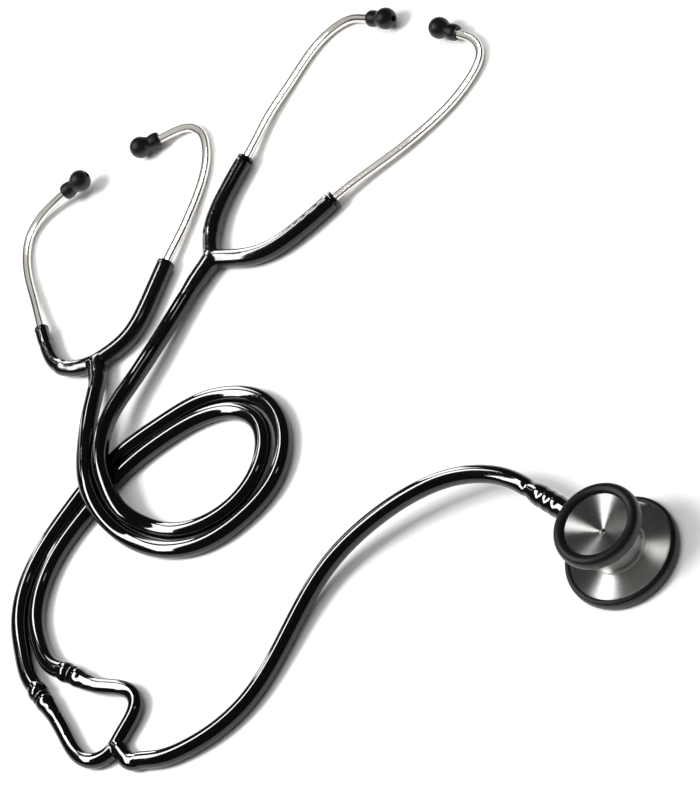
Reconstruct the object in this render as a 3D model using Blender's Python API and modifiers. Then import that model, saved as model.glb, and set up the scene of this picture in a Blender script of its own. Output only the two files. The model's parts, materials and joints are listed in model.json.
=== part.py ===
# Teaching stethoscope: one dual-head chestpiece and two headsets on one set of tubing.
# Metres, +Z up. The origin is the centre of the diaphragm's outer face, which lies on the table
# plane z = 0. The chest stem leaves the chestpiece towards +Y, a little to -X.

import math

import bmesh
import bpy
import numpy as np
from mathutils import Matrix, Vector

# ---------------------------------------------------------------- clearances
GAP = 0.0003                 # between pieces that touch or fit into each other
MERGE = 0.00005              # merge distance of turned shapes and caps

CREASE = math.radians(35.0)  # edges sharper than this stay sharp in the shading

# ---------------------------------------------------------------- sides of turned pieces
HEAD_STEPS = 36
STEM_STEPS = 20
SMALL_STEPS = 16

# ---------------------------------------------------------------- diaphragm side
RIM_OUTER_RADIUS = 0.0250
RIM_WALL = 0.0013            # rubber outside the cup's edge
RIM_LIP = 0.0004             # rubber under the diaphragm's flange
RIM_TOP_LIP = 0.0006         # rubber over the cup's edge
RIM_TOP_COVER = 0.0010       # how far the top lip reaches in over the cup
DIAPHRAGM_THICKNESS = 0.0005
DIAPHRAGM_STEP = 0.0007      # the face stands this far below its flange
FLANGE_THICKNESS = 0.0004
FLANGE_WIDTH = 0.0015
CUP_EDGE_HEIGHT = 0.0033
CUP_CHAMBER_DEPTH = 0.0025
CUP_LAND = 0.0026            # flat ring of the cup that the flange seats on
PLATE_RISE = 0.0024          # of the sloping back, from the cup's edge to the collar

# ---------------------------------------------------------------- chest body
SOUND_BORE_RADIUS = 0.0014
NECK_RADIUS = 0.0103
NECK_HEIGHT = 0.0064
COLLAR_WIDTH = 0.0019        # outside the neck
COLLAR_HEIGHT = 0.0014
BELL_FLOOR = 0.00105         # steel between the stem's hole and the bell's apex
BELL_DEPTH = 0.0059
BELL_EDGE_RADIUS = 0.0169
BELL_EDGE_HEIGHT = 0.0033
BELL_EDGE_WIDTH = 0.0029
BELL_UNDERCUT = 0.0012       # of the bell's edge over its flare
BELL_RING_WALL = 0.0018      # rubber outside the bell's edge
BELL_RING_CROWN = 0.0019     # rubber over the bell's edge
BELL_RING_FOOT = 0.0009      # rubber under the bell's edge
BELL_RING_GRIP = 0.0008      # how far the foot reaches in under the edge
BODY_BEVEL = 0.0006

# ---------------------------------------------------------------- stem, nut and click
STEM_HEIGHT = 0.0088         # of the stem's axis above the collar
STEM_TURN = math.radians(10.8)   # from +Y towards -X
STEM_RADIUS = 0.00275
STEM_START = -0.0045
STEM_BEVEL = 0.0003
STEM_SHOULDER = 0.00115      # how far the shoulder stands out
STEM_SHOULDER_START = 0.0065
STEM_SHOULDER_LENGTH = 0.0012
STEM_NECK_START = 0.0006     # past the nut
STEM_NECK_LENGTH = 0.0006
STEM_BORE_RADIUS = 0.0012
BARB_ROOT_RADIUS = 0.0022
BARB_TIP_RADIUS = 0.0029
BARB_COUNT = 5
BARB_START = 0.0074          # past the nut
BARB_PITCH = 0.0048
NUT_LENGTH = 0.0046
NUT_WALL = 0.00165
NUT_BEVEL = 0.0005
DETENT_OFFSET = 0.0045       # along the stem from the sound bore
DETENT_BALL_RADIUS = 0.0010
DETENT_SPRING_RADIUS = 0.00075
DETENT_SPRING_LENGTH = 0.0026
DETENT_WIRE_RADIUS = 0.00016
DETENT_TURNS = 4

# ---------------------------------------------------------------- tubing
TUBE_RADIUS = 0.00385
CUFF_OFFSET = 0.0024         # from the nut to the cuff's mouth
CUFF_LENGTH = 0.0314
CUFF_WALL = 0.0015
CUFF_MOUTH_WALL = 0.0010
CUFF_WAIST_WALL = 0.0004
CUFF_WAIST_LENGTH = 0.0045
CUFF_MOUTH_LENGTH = 0.0060
CUFF_RIDGE = 0.0002
CUFF_RIDGE_COUNT = 3.5
SMALL_CUFF_LENGTH = 0.0060
SMALL_CUFF_RADIUS = 0.0046
CONNECTOR_FLANGE_RADIUS = 0.0042
CONNECTOR_FLANGE_LENGTH = 0.0014
CONNECTOR_SHANK_RADIUS = 0.0019
CONNECTOR_BARB_RADIUS = 0.0025
CONNECTOR_BORE_RADIUS = 0.0011
CONNECTOR_REACH = 0.0085     # into the Y's arm
SOCKET_RADIUS = CONNECTOR_BARB_RADIUS + GAP
HEART_RADIUS = 0.0035
HEART_MOUTH_RADIUS = 0.0044
HEART_STUB_RADIUS = TUBE_RADIUS
HEART_BORE_RADIUS = 0.0016

# ---------------------------------------------------------------- headsets
YOKE_RADIUS = 0.0044
ARM_ROOT_RADIUS = 0.0041
ARM_ROOT_BORE_RADIUS = 0.0028
ARM_ROOT_BORE_LENGTH = 0.0070
ARM_BORE_RADIUS = 0.0015
SOCKET_LENGTH = 0.0160
SPRING_WIDTH = 0.0028
SPRING_THICKNESS = 0.0006
SPRING_REACH = 0.0040        # past each arm's pivot
SPRING_STEP = 0.0016         # between the points along the strip
EAR_TUBE_RADIUS = 0.0020
EAR_TUBE_WALL = 0.0005
EARTIP_SLEEVE_RADIUS = 0.0038
EARTIP_GROOVE_RADIUS = 0.0031
EARTIP_BALL_RADIUS = 0.0049
EARTIP_SOUND_RADIUS = 0.0012
EARTIP_SLEEVE_LENGTH = 0.0048    # from its open end to the ball
EARTIP_GRIP = 0.0085         # how far the ear tube goes in
EARTIP_BEVEL = 0.0005

# Centre lines of the free tubes, from the headset or the chestpiece to the Y.
CHEST_ROUTE = [
    (-0.0119, 0.0576, 0.0180), (-0.0192, 0.0696, 0.0185), (-0.0284, 0.0786, 0.0185),
    (-0.0383, 0.0849, 0.0180), (-0.0493, 0.0903, 0.0165), (-0.0625, 0.0952, 0.0140),
    (-0.0769, 0.0987, 0.0110), (-0.0932, 0.0992, 0.0080), (-0.1137, 0.0938, 0.0055),
    (-0.1339, 0.0859, 0.0042), (-0.1527, 0.0808, 0.0039), (-0.1697, 0.0811, 0.0039),
    (-0.1845, 0.0853, 0.0039), (-0.1955, 0.0915, 0.0039), (-0.2028, 0.0986, 0.0039)]
STUDENT_ROUTE = [
    (-0.1134, 0.2666, 0.0075), (-0.1220, 0.2565, 0.0095), (-0.1305, 0.2450, 0.0115),
    (-0.1375, 0.2350, 0.0122), (-0.1435, 0.2225, 0.0123), (-0.1465, 0.2085, 0.0090),
    (-0.1455, 0.1950, 0.0050), (-0.1415, 0.1825, 0.0039), (-0.1345, 0.1710, 0.0039),
    (-0.1225, 0.1610, 0.0039), (-0.1030, 0.1560, 0.0039), (-0.0825, 0.1590, 0.0039),
    (-0.0680, 0.1715, 0.0039), (-0.0625, 0.1855, 0.0039), (-0.0635, 0.1995, 0.0039),
    (-0.0699, 0.2107, 0.0039), (-0.0816, 0.2210, 0.0039), (-0.0996, 0.2275, 0.0039),
    (-0.1208, 0.2319, 0.0039), (-0.1368, 0.2323, 0.0039), (-0.1545, 0.2291, 0.0039),
    (-0.1731, 0.2240, 0.0039), (-0.1914, 0.2148, 0.0039), (-0.2035, 0.2025, 0.0039),
    (-0.2119, 0.1859, 0.0041), (-0.2164, 0.1680, 0.0048)]
TEACHER_ROUTE = [
    (-0.0565, 0.2710, 0.0060), (-0.0677, 0.2665, 0.0065), (-0.0854, 0.2590, 0.0080),
    (-0.0995, 0.2537, 0.0090), (-0.1147, 0.2466, 0.0112), (-0.1261, 0.2366, 0.0128),
    (-0.1323, 0.2280, 0.0134), (-0.1370, 0.2157, 0.0128), (-0.1391, 0.2020, 0.0100),
    (-0.1351, 0.1888, 0.0050), (-0.1290, 0.1785, 0.0039), (-0.1185, 0.1695, 0.0039),
    (-0.1035, 0.1650, 0.0039), (-0.0875, 0.1680, 0.0039), (-0.0755, 0.1780, 0.0039),
    (-0.0710, 0.1890, 0.0039), (-0.0725, 0.1994, 0.0039), (-0.0781, 0.2079, 0.0039),
    (-0.0897, 0.2157, 0.0039), (-0.1054, 0.2207, 0.0039), (-0.1212, 0.2233, 0.0039),
    (-0.1358, 0.2231, 0.0039), (-0.1507, 0.2209, 0.0039), (-0.1687, 0.2169, 0.0039),
    (-0.1855, 0.2086, 0.0039), (-0.1977, 0.1961, 0.0039), (-0.2038, 0.1813, 0.0041),
    (-0.2034, 0.1649, 0.0048)]

# Centre lines of the moulded Y: the bow from one connector to the other, and its stub.
HEART_ROUTE = [
    (-0.2174, 0.1544, 0.0048), (-0.2180, 0.1461, 0.0046), (-0.2195, 0.1360, 0.0042),
    (-0.2207, 0.1270, 0.0039), (-0.2195, 0.1194, 0.0039), (-0.2150, 0.1140, 0.0039),
    (-0.2081, 0.1126, 0.0039), (-0.2019, 0.1148, 0.0039), (-0.1939, 0.1179, 0.0039),
    (-0.1884, 0.1219, 0.0039), (-0.1867, 0.1280, 0.0039), (-0.1889, 0.1343, 0.0042),
    (-0.1958, 0.1443, 0.0046), (-0.1984, 0.1513, 0.0048)]
HEART_STUB_ROUTE = [(-0.2068, 0.1150, 0.0039), (-0.2060, 0.1090, 0.0039)]

# Each headset: the fork's centre, and for each side the arm's centre line from its pivot to its
# end, the arm's radius, and the ear tube's line from the arm's end to the ball of its eartip.
HEADSETS = {
    "teacher": {
        "route": TEACHER_ROUTE,
        "fork": (-0.0365, 0.2775, 0.0052),
        "left": {
            "arm": [(-0.0312, 0.2865, 0.0050), (-0.0245, 0.2935, 0.0050), (-0.0165, 0.2988, 0.0050),
                    (-0.0090, 0.3025, 0.0050), (0.0055, 0.3085, 0.0050)],
            "radius": 0.0040,
            "tube": [(0.0155, 0.3140, 0.0040), (0.0240, 0.3185, 0.0035), (0.0440, 0.3260, 0.0025),
                     (0.0610, 0.3310, 0.0025), (0.0750, 0.3310, 0.0025), (0.0820, 0.3270, 0.0035),
                     (0.0870, 0.3185, 0.0050), (0.0925, 0.3090, 0.0065)],
        },
        "right": {
            "arm": [(-0.0300, 0.2695, 0.0050), (-0.0235, 0.2625, 0.0050), (-0.0145, 0.2570, 0.0050),
                    (0.0000, 0.2538, 0.0050), (0.0205, 0.2525, 0.0050)],
            "radius": 0.0043,
            "tube": [(0.0400, 0.2505, 0.0040), (0.0560, 0.2480, 0.0035), (0.0700, 0.2470, 0.0030),
                     (0.0850, 0.2475, 0.0025), (0.0975, 0.2500, 0.0025), (0.1050, 0.2530, 0.0025),
                     (0.1100, 0.2575, 0.0025), (0.1120, 0.2645, 0.0035), (0.1100, 0.2705, 0.0048),
                     (0.1055, 0.2815, 0.0065)],
        },
    },
    "student": {
        "route": STUDENT_ROUTE,
        "fork": (-0.1045, 0.2810, 0.0052),
        "left": {
            "arm": [(-0.1125, 0.2870, 0.0050), (-0.1165, 0.2925, 0.0050), (-0.1182, 0.2990, 0.0051),
                    (-0.1170, 0.3070, 0.0054), (-0.1125, 0.3200, 0.0060)],
            "radius": 0.0033,
            "tube": [(-0.1065, 0.3375, 0.0045), (-0.1010, 0.3530, 0.0035), (-0.0970, 0.3610, 0.0030),
                     (-0.0885, 0.3705, 0.0030), (-0.0790, 0.3735, 0.0040), (-0.0695, 0.3720, 0.0060),
                     (-0.0645, 0.3702, 0.0075), (-0.0550, 0.3670, 0.0095)],
        },
        "right": {
            "arm": [(-0.0958, 0.2794, 0.0050), (-0.0860, 0.2790, 0.0050), (-0.0750, 0.2830, 0.0050),
                    (-0.0655, 0.2884, 0.0050), (-0.0520, 0.2963, 0.0050)],
            "radius": 0.0041,
            "tube": [(-0.0395, 0.3035, 0.0040), (-0.0305, 0.3090, 0.0035), (-0.0175, 0.3185, 0.0025),
                     (-0.0080, 0.3275, 0.0025), (-0.0030, 0.3355, 0.0025), (-0.0010, 0.3425, 0.0025),
                     (-0.0028, 0.3490, 0.0030), (-0.0085, 0.3530, 0.0038), (-0.0150, 0.3550, 0.0046),
                     (-0.0250, 0.3585, 0.0065)],
        },
    },
}

FINISHES = {
    "steel": ((0.62, 0.60, 0.56), 0.30, 1.0),
    "polished_steel": ((0.75, 0.73, 0.69), 0.15, 1.0),
    "glossy_pvc": ((0.020, 0.021, 0.023), 0.08, 0.0),
    "soft_rubber": ((0.060, 0.062, 0.067), 0.55, 0.0),
    "diaphragm_sheet": ((0.10, 0.10, 0.11), 0.35, 0.0),
    "spring_steel": ((0.50, 0.50, 0.52), 0.35, 1.0),
}


# ---------------------------------------------------------------- scene and materials
def clear_scene():
    for old in list(bpy.data.objects):
        bpy.data.objects.remove(old, do_unlink=True)


def new_collection(name):
    collection = bpy.data.collections.new(name)
    bpy.context.scene.collection.children.link(collection)
    return collection


def set_finish(obj, finish):
    colour, roughness, metallic = FINISHES[finish]
    material = bpy.data.materials.new(obj.name)
    material.use_nodes = True
    shader = material.node_tree.nodes["Principled BSDF"]
    shader.inputs["Base Color"].default_value = (*colour, 1.0)
    shader.inputs["Roughness"].default_value = roughness
    shader.inputs["Metallic"].default_value = metallic
    obj.data.materials.clear()
    obj.data.materials.append(material)


# ---------------------------------------------------------------- shapes
def smooth_route(points, spacing):
    """Points at about the given spacing on a natural cubic curve through the given ones."""
    knots = np.array(points, dtype=float)
    steps = np.linalg.norm(np.diff(knots, axis=0), axis=1)
    at = np.concatenate(([0.0], np.cumsum(steps)))
    count = len(knots)
    system = np.zeros((count, count))
    right = np.zeros_like(knots)
    system[0, 0] = 1.0
    system[-1, -1] = 1.0
    for i in range(1, count - 1):
        system[i, i - 1] = steps[i - 1]
        system[i, i] = 2.0 * (steps[i - 1] + steps[i])
        system[i, i + 1] = steps[i]
        right[i] = 6.0 * ((knots[i + 1] - knots[i]) / steps[i] - (knots[i] - knots[i - 1]) / steps[i - 1])
    bend = np.linalg.solve(system, right)
    total = at[-1]
    result = []
    for where in np.linspace(0.0, total, max(3, int(round(total / spacing)) + 1)):
        i = min(int(np.searchsorted(at, where, side="right")) - 1, count - 2)
        h = steps[i]
        a = (at[i + 1] - where) / h
        b = (where - at[i]) / h
        point = a * knots[i] + b * knots[i + 1]
        point = point + ((a ** 3 - a) * bend[i] + (b ** 3 - b) * bend[i + 1]) * h * h / 6.0
        result.append(Vector(point))
    return result


def route_lengths(points):
    """Distance along a list of points, for each point."""
    result = [0.0]
    for before, after in zip(points, points[1:]):
        result.append(result[-1] + (after - before).length)
    return result


def tube_curve(name, points, radii, sides=2, caps=True):
    """A round bar along points, with one radius or one for each point."""
    if not isinstance(radii, (list, tuple)):
        radii = [radii] * len(points)
    data = bpy.data.curves.new(name, "CURVE")
    data.dimensions = "3D"
    data.twist_mode = "MINIMUM"
    data.bevel_depth = 1.0
    data.bevel_resolution = sides
    data.use_fill_caps = caps
    spline = data.splines.new("POLY")
    spline.points.add(len(points) - 1)
    for slot, point, radius in zip(spline.points, points, radii):
        slot.co = (*point, 1.0)
        slot.radius = radius
    obj = bpy.data.objects.new(name, data)
    parts.objects.link(obj)
    return obj


def as_mesh(curve):
    """The curve as a closed mesh with its caps welded on."""
    bpy.context.view_layer.update()
    graph = bpy.context.evaluated_depsgraph_get()
    mesh = bpy.data.meshes.new_from_object(curve.evaluated_get(graph))
    work = bmesh.new()
    work.from_mesh(mesh)
    bmesh.ops.remove_doubles(work, verts=work.verts, dist=MERGE)
    bmesh.ops.recalc_face_normals(work, faces=work.faces)
    work.to_mesh(mesh)
    work.free()
    mesh.shade_smooth()
    mesh.set_sharp_from_angle(angle=CREASE)
    name = curve.name
    obj = bpy.data.objects.new(name + "_mesh", mesh)
    obj.matrix_world = curve.matrix_world
    parts.objects.link(obj)
    bpy.data.objects.remove(curve, do_unlink=True)
    obj.name = name
    return obj


def turned(name, profile, steps, place=None):
    """A solid turned about local Z from (radius, height) points that run down the outside."""
    mesh = bpy.data.meshes.new(name)
    closed = profile[0][0] > MERGE
    edges = [(i, i + 1) for i in range(len(profile) - 1)]
    if closed:
        edges.append((len(profile) - 1, 0))
    mesh.from_pydata([(radius, 0.0, height) for radius, height in profile], edges, [])
    obj = bpy.data.objects.new(name, mesh)
    parts.objects.link(obj)
    screw = obj.modifiers.new("Turn", "SCREW")
    screw.axis = "Z"
    screw.steps = steps
    screw.render_steps = steps
    screw.use_merge_vertices = True
    screw.merge_threshold = MERGE
    screw.use_smooth_shade = True
    if place is not None:
        obj.matrix_world = place
    return obj


def cut(target, cutter, operation="DIFFERENCE"):
    """Cut the target with the cutter, which is kept hidden in its own collection."""
    boolean = target.modifiers.new(cutter.name, "BOOLEAN")
    boolean.operation = operation
    boolean.solver = "EXACT"
    boolean.object = cutter
    for owner in list(cutter.users_collection):
        owner.objects.unlink(cutter)
    cutters.objects.link(cutter)
    cutter.hide_render = True
    cutter.display_type = "WIRE"


def axis_frame(origin, direction):
    """Matrix that puts local Z along direction at origin."""
    turn = Vector(direction).normalized().to_track_quat("Z", "Y").to_matrix().to_4x4()
    return Matrix.Translation(origin) @ turn


def make_pivot(name, place, direction, followers):
    """Empty on a joint's axis that carries the pieces which move about it."""
    pivot = bpy.data.objects.new(name, None)
    pivot.empty_display_size = 0.01
    pivot.matrix_world = axis_frame(place, direction)
    parts.objects.link(pivot)
    bpy.context.view_layer.update()
    for follower in followers:
        follower.parent = pivot
        follower.matrix_parent_inverse = pivot.matrix_world.inverted()
    return pivot


def rod(name, start, end, radius, steps=24):
    """A plain cylinder from start to end."""
    length = (Vector(end) - Vector(start)).length
    profile = [(0.0, length), (radius, length), (radius, 0.0), (0.0, 0.0)]
    return turned(name, profile, steps, axis_frame(start, Vector(end) - Vector(start)))


def arc(centre_r, centre_z, radius, first, last, count):
    """Profile points on an arc; angles in degrees from the outward direction."""
    result = []
    for i in range(count):
        angle = math.radians(first + (last - first) * i / (count - 1))
        result.append((centre_r + radius * math.cos(angle), centre_z + radius * math.sin(angle)))
    return result


# ---------------------------------------------------------------- chestpiece
FLANGE_BOTTOM_Z = DIAPHRAGM_STEP + GAP
FLANGE_TOP_Z = FLANGE_BOTTOM_Z + FLANGE_THICKNESS
CUP_BOTTOM_Z = FLANGE_TOP_Z + GAP
CUP_TOP_Z = CUP_BOTTOM_Z + CUP_EDGE_HEIGHT
CUP_RADIUS = RIM_OUTER_RADIUS - RIM_WALL - GAP
FLANGE_RADIUS = CUP_RADIUS
RIM_BOTTOM_Z = FLANGE_BOTTOM_Z - GAP - RIM_LIP
RIM_INNER_RADIUS = FLANGE_RADIUS - FLANGE_WIDTH + GAP
RIM_TOP_INNER_RADIUS = CUP_RADIUS - RIM_TOP_COVER
COLLAR_RADIUS = NECK_RADIUS + COLLAR_WIDTH
COLLAR_BASE_Z = CUP_TOP_Z + PLATE_RISE
COLLAR_TOP_Z = COLLAR_BASE_Z + COLLAR_HEIGHT
NECK_TOP_Z = COLLAR_TOP_Z + NECK_HEIGHT
STEM_Z = COLLAR_TOP_Z + STEM_HEIGHT
STEM_HOLE_RADIUS = STEM_RADIUS + GAP
BELL_APEX_Z = STEM_Z + STEM_HOLE_RADIUS + BELL_FLOOR
BELL_EDGE_TOP_Z = BELL_APEX_Z + BELL_DEPTH
BELL_EDGE_BOTTOM_Z = BELL_EDGE_TOP_Z - BELL_EDGE_HEIGHT
BELL_MOUTH_RADIUS = BELL_EDGE_RADIUS - BELL_EDGE_WIDTH
BELL_RING_RADIUS = BELL_EDGE_RADIUS + GAP + BELL_RING_WALL
BELL_RING_TOP_Z = BELL_EDGE_TOP_Z + BELL_RING_CROWN
STEM_SHOULDER_RADIUS = STEM_RADIUS + STEM_SHOULDER
NUT_RADIUS = STEM_HOLE_RADIUS + NUT_WALL
NUT_START = STEM_SHOULDER_START + STEM_SHOULDER_LENGTH + GAP
NUT_END = NUT_START + NUT_LENGTH
CUFF_BORE_RADIUS = BARB_TIP_RADIUS + GAP
CUFF_START = NUT_END + CUFF_OFFSET
CUFF_END = CUFF_START + CUFF_LENGTH
STEM_DIRECTION = Vector((-math.sin(STEM_TURN), math.cos(STEM_TURN), 0.0))
STEM_BORE_CENTRE = Vector((0.0, 0.0, STEM_Z))
UP = Vector((0.0, 0.0, 1.0))


def on_stem(distance):
    """Point on the stem's axis at a distance from the chestpiece's axis."""
    return STEM_BORE_CENTRE + STEM_DIRECTION * distance


def make_diaphragm():
    face_radius = FLANGE_RADIUS - FLANGE_WIDTH
    inner_radius = face_radius - DIAPHRAGM_THICKNESS
    profile = [
        (0.0, DIAPHRAGM_THICKNESS),
        (inner_radius, DIAPHRAGM_THICKNESS),
        (inner_radius, FLANGE_TOP_Z),
        (FLANGE_RADIUS, FLANGE_TOP_Z),
        (FLANGE_RADIUS, FLANGE_BOTTOM_Z),
        (face_radius, FLANGE_BOTTOM_Z),
        (face_radius, DIAPHRAGM_THICKNESS * 0.5),
        (face_radius - DIAPHRAGM_THICKNESS * 0.5, 0.0),
        (0.0, 0.0)]
    diaphragm = turned("diaphragm", profile, HEAD_STEPS)
    set_finish(diaphragm, "diaphragm_sheet")
    return diaphragm


def make_rim():
    groove = CUP_RADIUS + GAP
    top_lip_z = CUP_TOP_Z + GAP
    middle = (RIM_BOTTOM_Z + top_lip_z + RIM_TOP_LIP) * 0.5
    half = (top_lip_z + RIM_TOP_LIP - RIM_BOTTOM_Z) * 0.5
    round_r = RIM_WALL * 0.8
    profile = [(RIM_TOP_INNER_RADIUS, top_lip_z + RIM_TOP_LIP)]
    profile += arc(RIM_OUTER_RADIUS - round_r, middle + half - round_r, round_r, 90, 0, 3)
    profile += arc(RIM_OUTER_RADIUS - round_r, middle - half + round_r, round_r, 0, -90, 3)
    profile += [
        (RIM_INNER_RADIUS, RIM_BOTTOM_Z),
        (RIM_INNER_RADIUS, RIM_BOTTOM_Z + RIM_LIP),
        (groove, RIM_BOTTOM_Z + RIM_LIP),
        (groove, top_lip_z),
        (RIM_TOP_INNER_RADIUS, top_lip_z)]
    rim = turned("diaphragm_rim", profile, HEAD_STEPS)
    set_finish(rim, "soft_rubber")
    return rim


def make_bell_ring():
    groove = BELL_EDGE_RADIUS + GAP
    inner = BELL_MOUTH_RADIUS
    inside_z = BELL_EDGE_TOP_Z + GAP
    foot_inner = BELL_EDGE_RADIUS - BELL_RING_GRIP
    foot_top = BELL_EDGE_BOTTOM_Z - GAP
    foot = foot_top - BELL_RING_FOOT
    crown = (BELL_RING_RADIUS + inner) * 0.5
    shoulder = BELL_RING_RADIUS - BELL_RING_WALL * 0.5
    profile = [
        (inner, inside_z + BELL_RING_CROWN * 0.1),
        (inner + (crown - inner) * 0.35, BELL_RING_TOP_Z - BELL_RING_CROWN * 0.26),
        (crown, BELL_RING_TOP_Z),
        (shoulder, BELL_RING_TOP_Z - BELL_RING_CROWN * 0.37),
        (BELL_RING_RADIUS, BELL_RING_TOP_Z - BELL_RING_CROWN * 1.37),
        (BELL_RING_RADIUS, foot + BELL_RING_FOOT * 1.5),
        (shoulder, foot),
        (foot_inner, foot),
        (foot_inner, foot_top),
        (groove, foot_top),
        (groove, inside_z),
        (inner, inside_z)]
    ring = turned("bell_ring", profile, HEAD_STEPS)
    set_finish(ring, "soft_rubber")
    return ring


def make_chest_body():
    cone_foot = RIM_TOP_INNER_RADIUS - GAP
    chamber_top = CUP_BOTTOM_Z + CUP_CHAMBER_DEPTH
    land_inner = CUP_RADIUS - CUP_LAND
    flare = BELL_EDGE_RADIUS - BELL_UNDERCUT
    cone_depth = BELL_EDGE_TOP_Z - BELL_APEX_Z
    flare_rise = BELL_EDGE_BOTTOM_Z - NECK_TOP_Z
    profile = [
        (SOUND_BORE_RADIUS, BELL_APEX_Z),
        (BELL_MOUTH_RADIUS * 0.5, BELL_APEX_Z + cone_depth * 0.42),
        (BELL_MOUTH_RADIUS, BELL_EDGE_TOP_Z - BODY_BEVEL * 0.5),
        (BELL_MOUTH_RADIUS + BODY_BEVEL * 0.7, BELL_EDGE_TOP_Z),
        (BELL_EDGE_RADIUS, BELL_EDGE_TOP_Z),
        (BELL_EDGE_RADIUS, BELL_EDGE_BOTTOM_Z),
        (flare, BELL_EDGE_BOTTOM_Z),
        (flare - (flare - NECK_RADIUS) * 0.15, BELL_EDGE_BOTTOM_Z - flare_rise * 0.11),
        (NECK_RADIUS + (flare - NECK_RADIUS) * 0.33, NECK_TOP_Z + flare_rise * 0.35),
        (NECK_RADIUS + (flare - NECK_RADIUS) * 0.055, NECK_TOP_Z + flare_rise * 0.09),
        (NECK_RADIUS, NECK_TOP_Z - BODY_BEVEL * 1.5),
        (NECK_RADIUS, COLLAR_TOP_Z + BODY_BEVEL),
        (NECK_RADIUS + BODY_BEVEL, COLLAR_TOP_Z),
        (COLLAR_RADIUS - BODY_BEVEL, COLLAR_TOP_Z),
        (COLLAR_RADIUS, COLLAR_TOP_Z - BODY_BEVEL),
        (COLLAR_RADIUS, COLLAR_BASE_Z),
        (cone_foot, CUP_TOP_Z),
        (CUP_RADIUS, CUP_TOP_Z),
        (CUP_RADIUS, CUP_BOTTOM_Z),
        (land_inner, CUP_BOTTOM_Z),
        (land_inner - BODY_BEVEL, CUP_BOTTOM_Z + BODY_BEVEL * 0.8),
        (SOUND_BORE_RADIUS, chamber_top)]
    body = turned("chest_body", profile, HEAD_STEPS)
    counterbore = NUT_RADIUS + GAP
    inner_end = on_stem(STEM_START - GAP)
    shoulder = on_stem(STEM_SHOULDER_START - GAP)
    outside = on_stem(BELL_EDGE_RADIUS + counterbore)
    socket_profile = [
        (0.0, (outside - inner_end).length),
        (counterbore, (outside - inner_end).length),
        (counterbore, (shoulder - inner_end).length),
        (STEM_HOLE_RADIUS, (shoulder - inner_end).length),
        (STEM_HOLE_RADIUS, 0.0),
        (0.0, 0.0)]
    cut(body, turned("stem_socket", socket_profile, STEM_STEPS, axis_frame(inner_end, STEM_DIRECTION)))
    pocket_top = on_stem(DETENT_OFFSET) + Vector((0.0, 0.0, -STEM_RADIUS * 0.5))
    pocket_bottom = detent_seat() + Vector((0.0, 0.0, -GAP))
    cut(body, rod("detent_pocket", pocket_bottom, pocket_top, DETENT_BALL_RADIUS + GAP, 12))
    set_finish(body, "steel")
    return body


def detent_seat():
    """Foot of the click spring."""
    ball_drop = STEM_HOLE_RADIUS + 2.0 * DETENT_BALL_RADIUS
    return on_stem(DETENT_OFFSET) - Vector((0.0, 0.0, ball_drop + GAP + DETENT_SPRING_LENGTH))


def make_detent():
    drop = STEM_HOLE_RADIUS + DETENT_BALL_RADIUS
    centre = on_stem(DETENT_OFFSET) - Vector((0.0, 0.0, drop))
    bpy.ops.mesh.primitive_uv_sphere_add(segments=12, ring_count=8, radius=DETENT_BALL_RADIUS)
    ball = bpy.context.object
    ball.name = "detent_ball"
    ball.location = centre
    for owner in list(ball.users_collection):
        owner.objects.unlink(ball)
    parts.objects.link(ball)
    ball.data.shade_smooth()
    set_finish(ball, "polished_steel")
    foot = detent_seat()
    points = []
    per_turn = 8
    rise = DETENT_SPRING_LENGTH - 2.0 * DETENT_WIRE_RADIUS
    for i in range(DETENT_TURNS * per_turn + 1):
        angle = math.tau * i / per_turn
        height = DETENT_WIRE_RADIUS + rise * i / (DETENT_TURNS * per_turn)
        offset = Vector((math.cos(angle), math.sin(angle), 0.0)) * DETENT_SPRING_RADIUS
        points.append(foot + offset + Vector((0.0, 0.0, height)))
    spring = as_mesh(tube_curve("detent_spring", points, DETENT_WIRE_RADIUS, 1))
    set_finish(spring, "spring_steel")
    return ball, spring


def make_stem():
    first_barb = NUT_END + BARB_START
    end = first_barb + BARB_COUNT * BARB_PITCH
    shoulder_end = STEM_SHOULDER_START + STEM_SHOULDER_LENGTH
    neck_start = NUT_END + STEM_NECK_START
    profile = [(0.0, end), (BARB_ROOT_RADIUS, end)]
    for i in reversed(range(BARB_COUNT)):
        foot = first_barb + i * BARB_PITCH
        profile.append((BARB_TIP_RADIUS, foot + BARB_PITCH * 0.25))
        profile.append((BARB_ROOT_RADIUS, foot))
    profile += [
        (BARB_ROOT_RADIUS, neck_start + STEM_NECK_LENGTH),
        (STEM_RADIUS, neck_start),
        (STEM_RADIUS, shoulder_end),
        (STEM_SHOULDER_RADIUS, shoulder_end),
        (STEM_SHOULDER_RADIUS, STEM_SHOULDER_START),
        (STEM_RADIUS, STEM_SHOULDER_START),
        (STEM_RADIUS, STEM_START + STEM_BEVEL),
        (STEM_RADIUS - STEM_BEVEL, STEM_START),
        (0.0, STEM_START)]
    stem = turned("chest_stem", profile, STEM_STEPS, axis_frame(STEM_BORE_CENTRE, STEM_DIRECTION))
    past_end = on_stem(end + 0.002)
    bore = rod("stem_bore", on_stem(-SOUND_BORE_RADIUS), past_end, STEM_BORE_RADIUS, 12)
    cut(stem, bore)
    below = STEM_BORE_CENTRE - Vector((0.0, 0.0, STEM_RADIUS + 0.002))
    cut(stem, rod("stem_port", below, STEM_BORE_CENTRE, STEM_BORE_RADIUS * 0.9, 12))
    set_finish(stem, "polished_steel")


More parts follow.
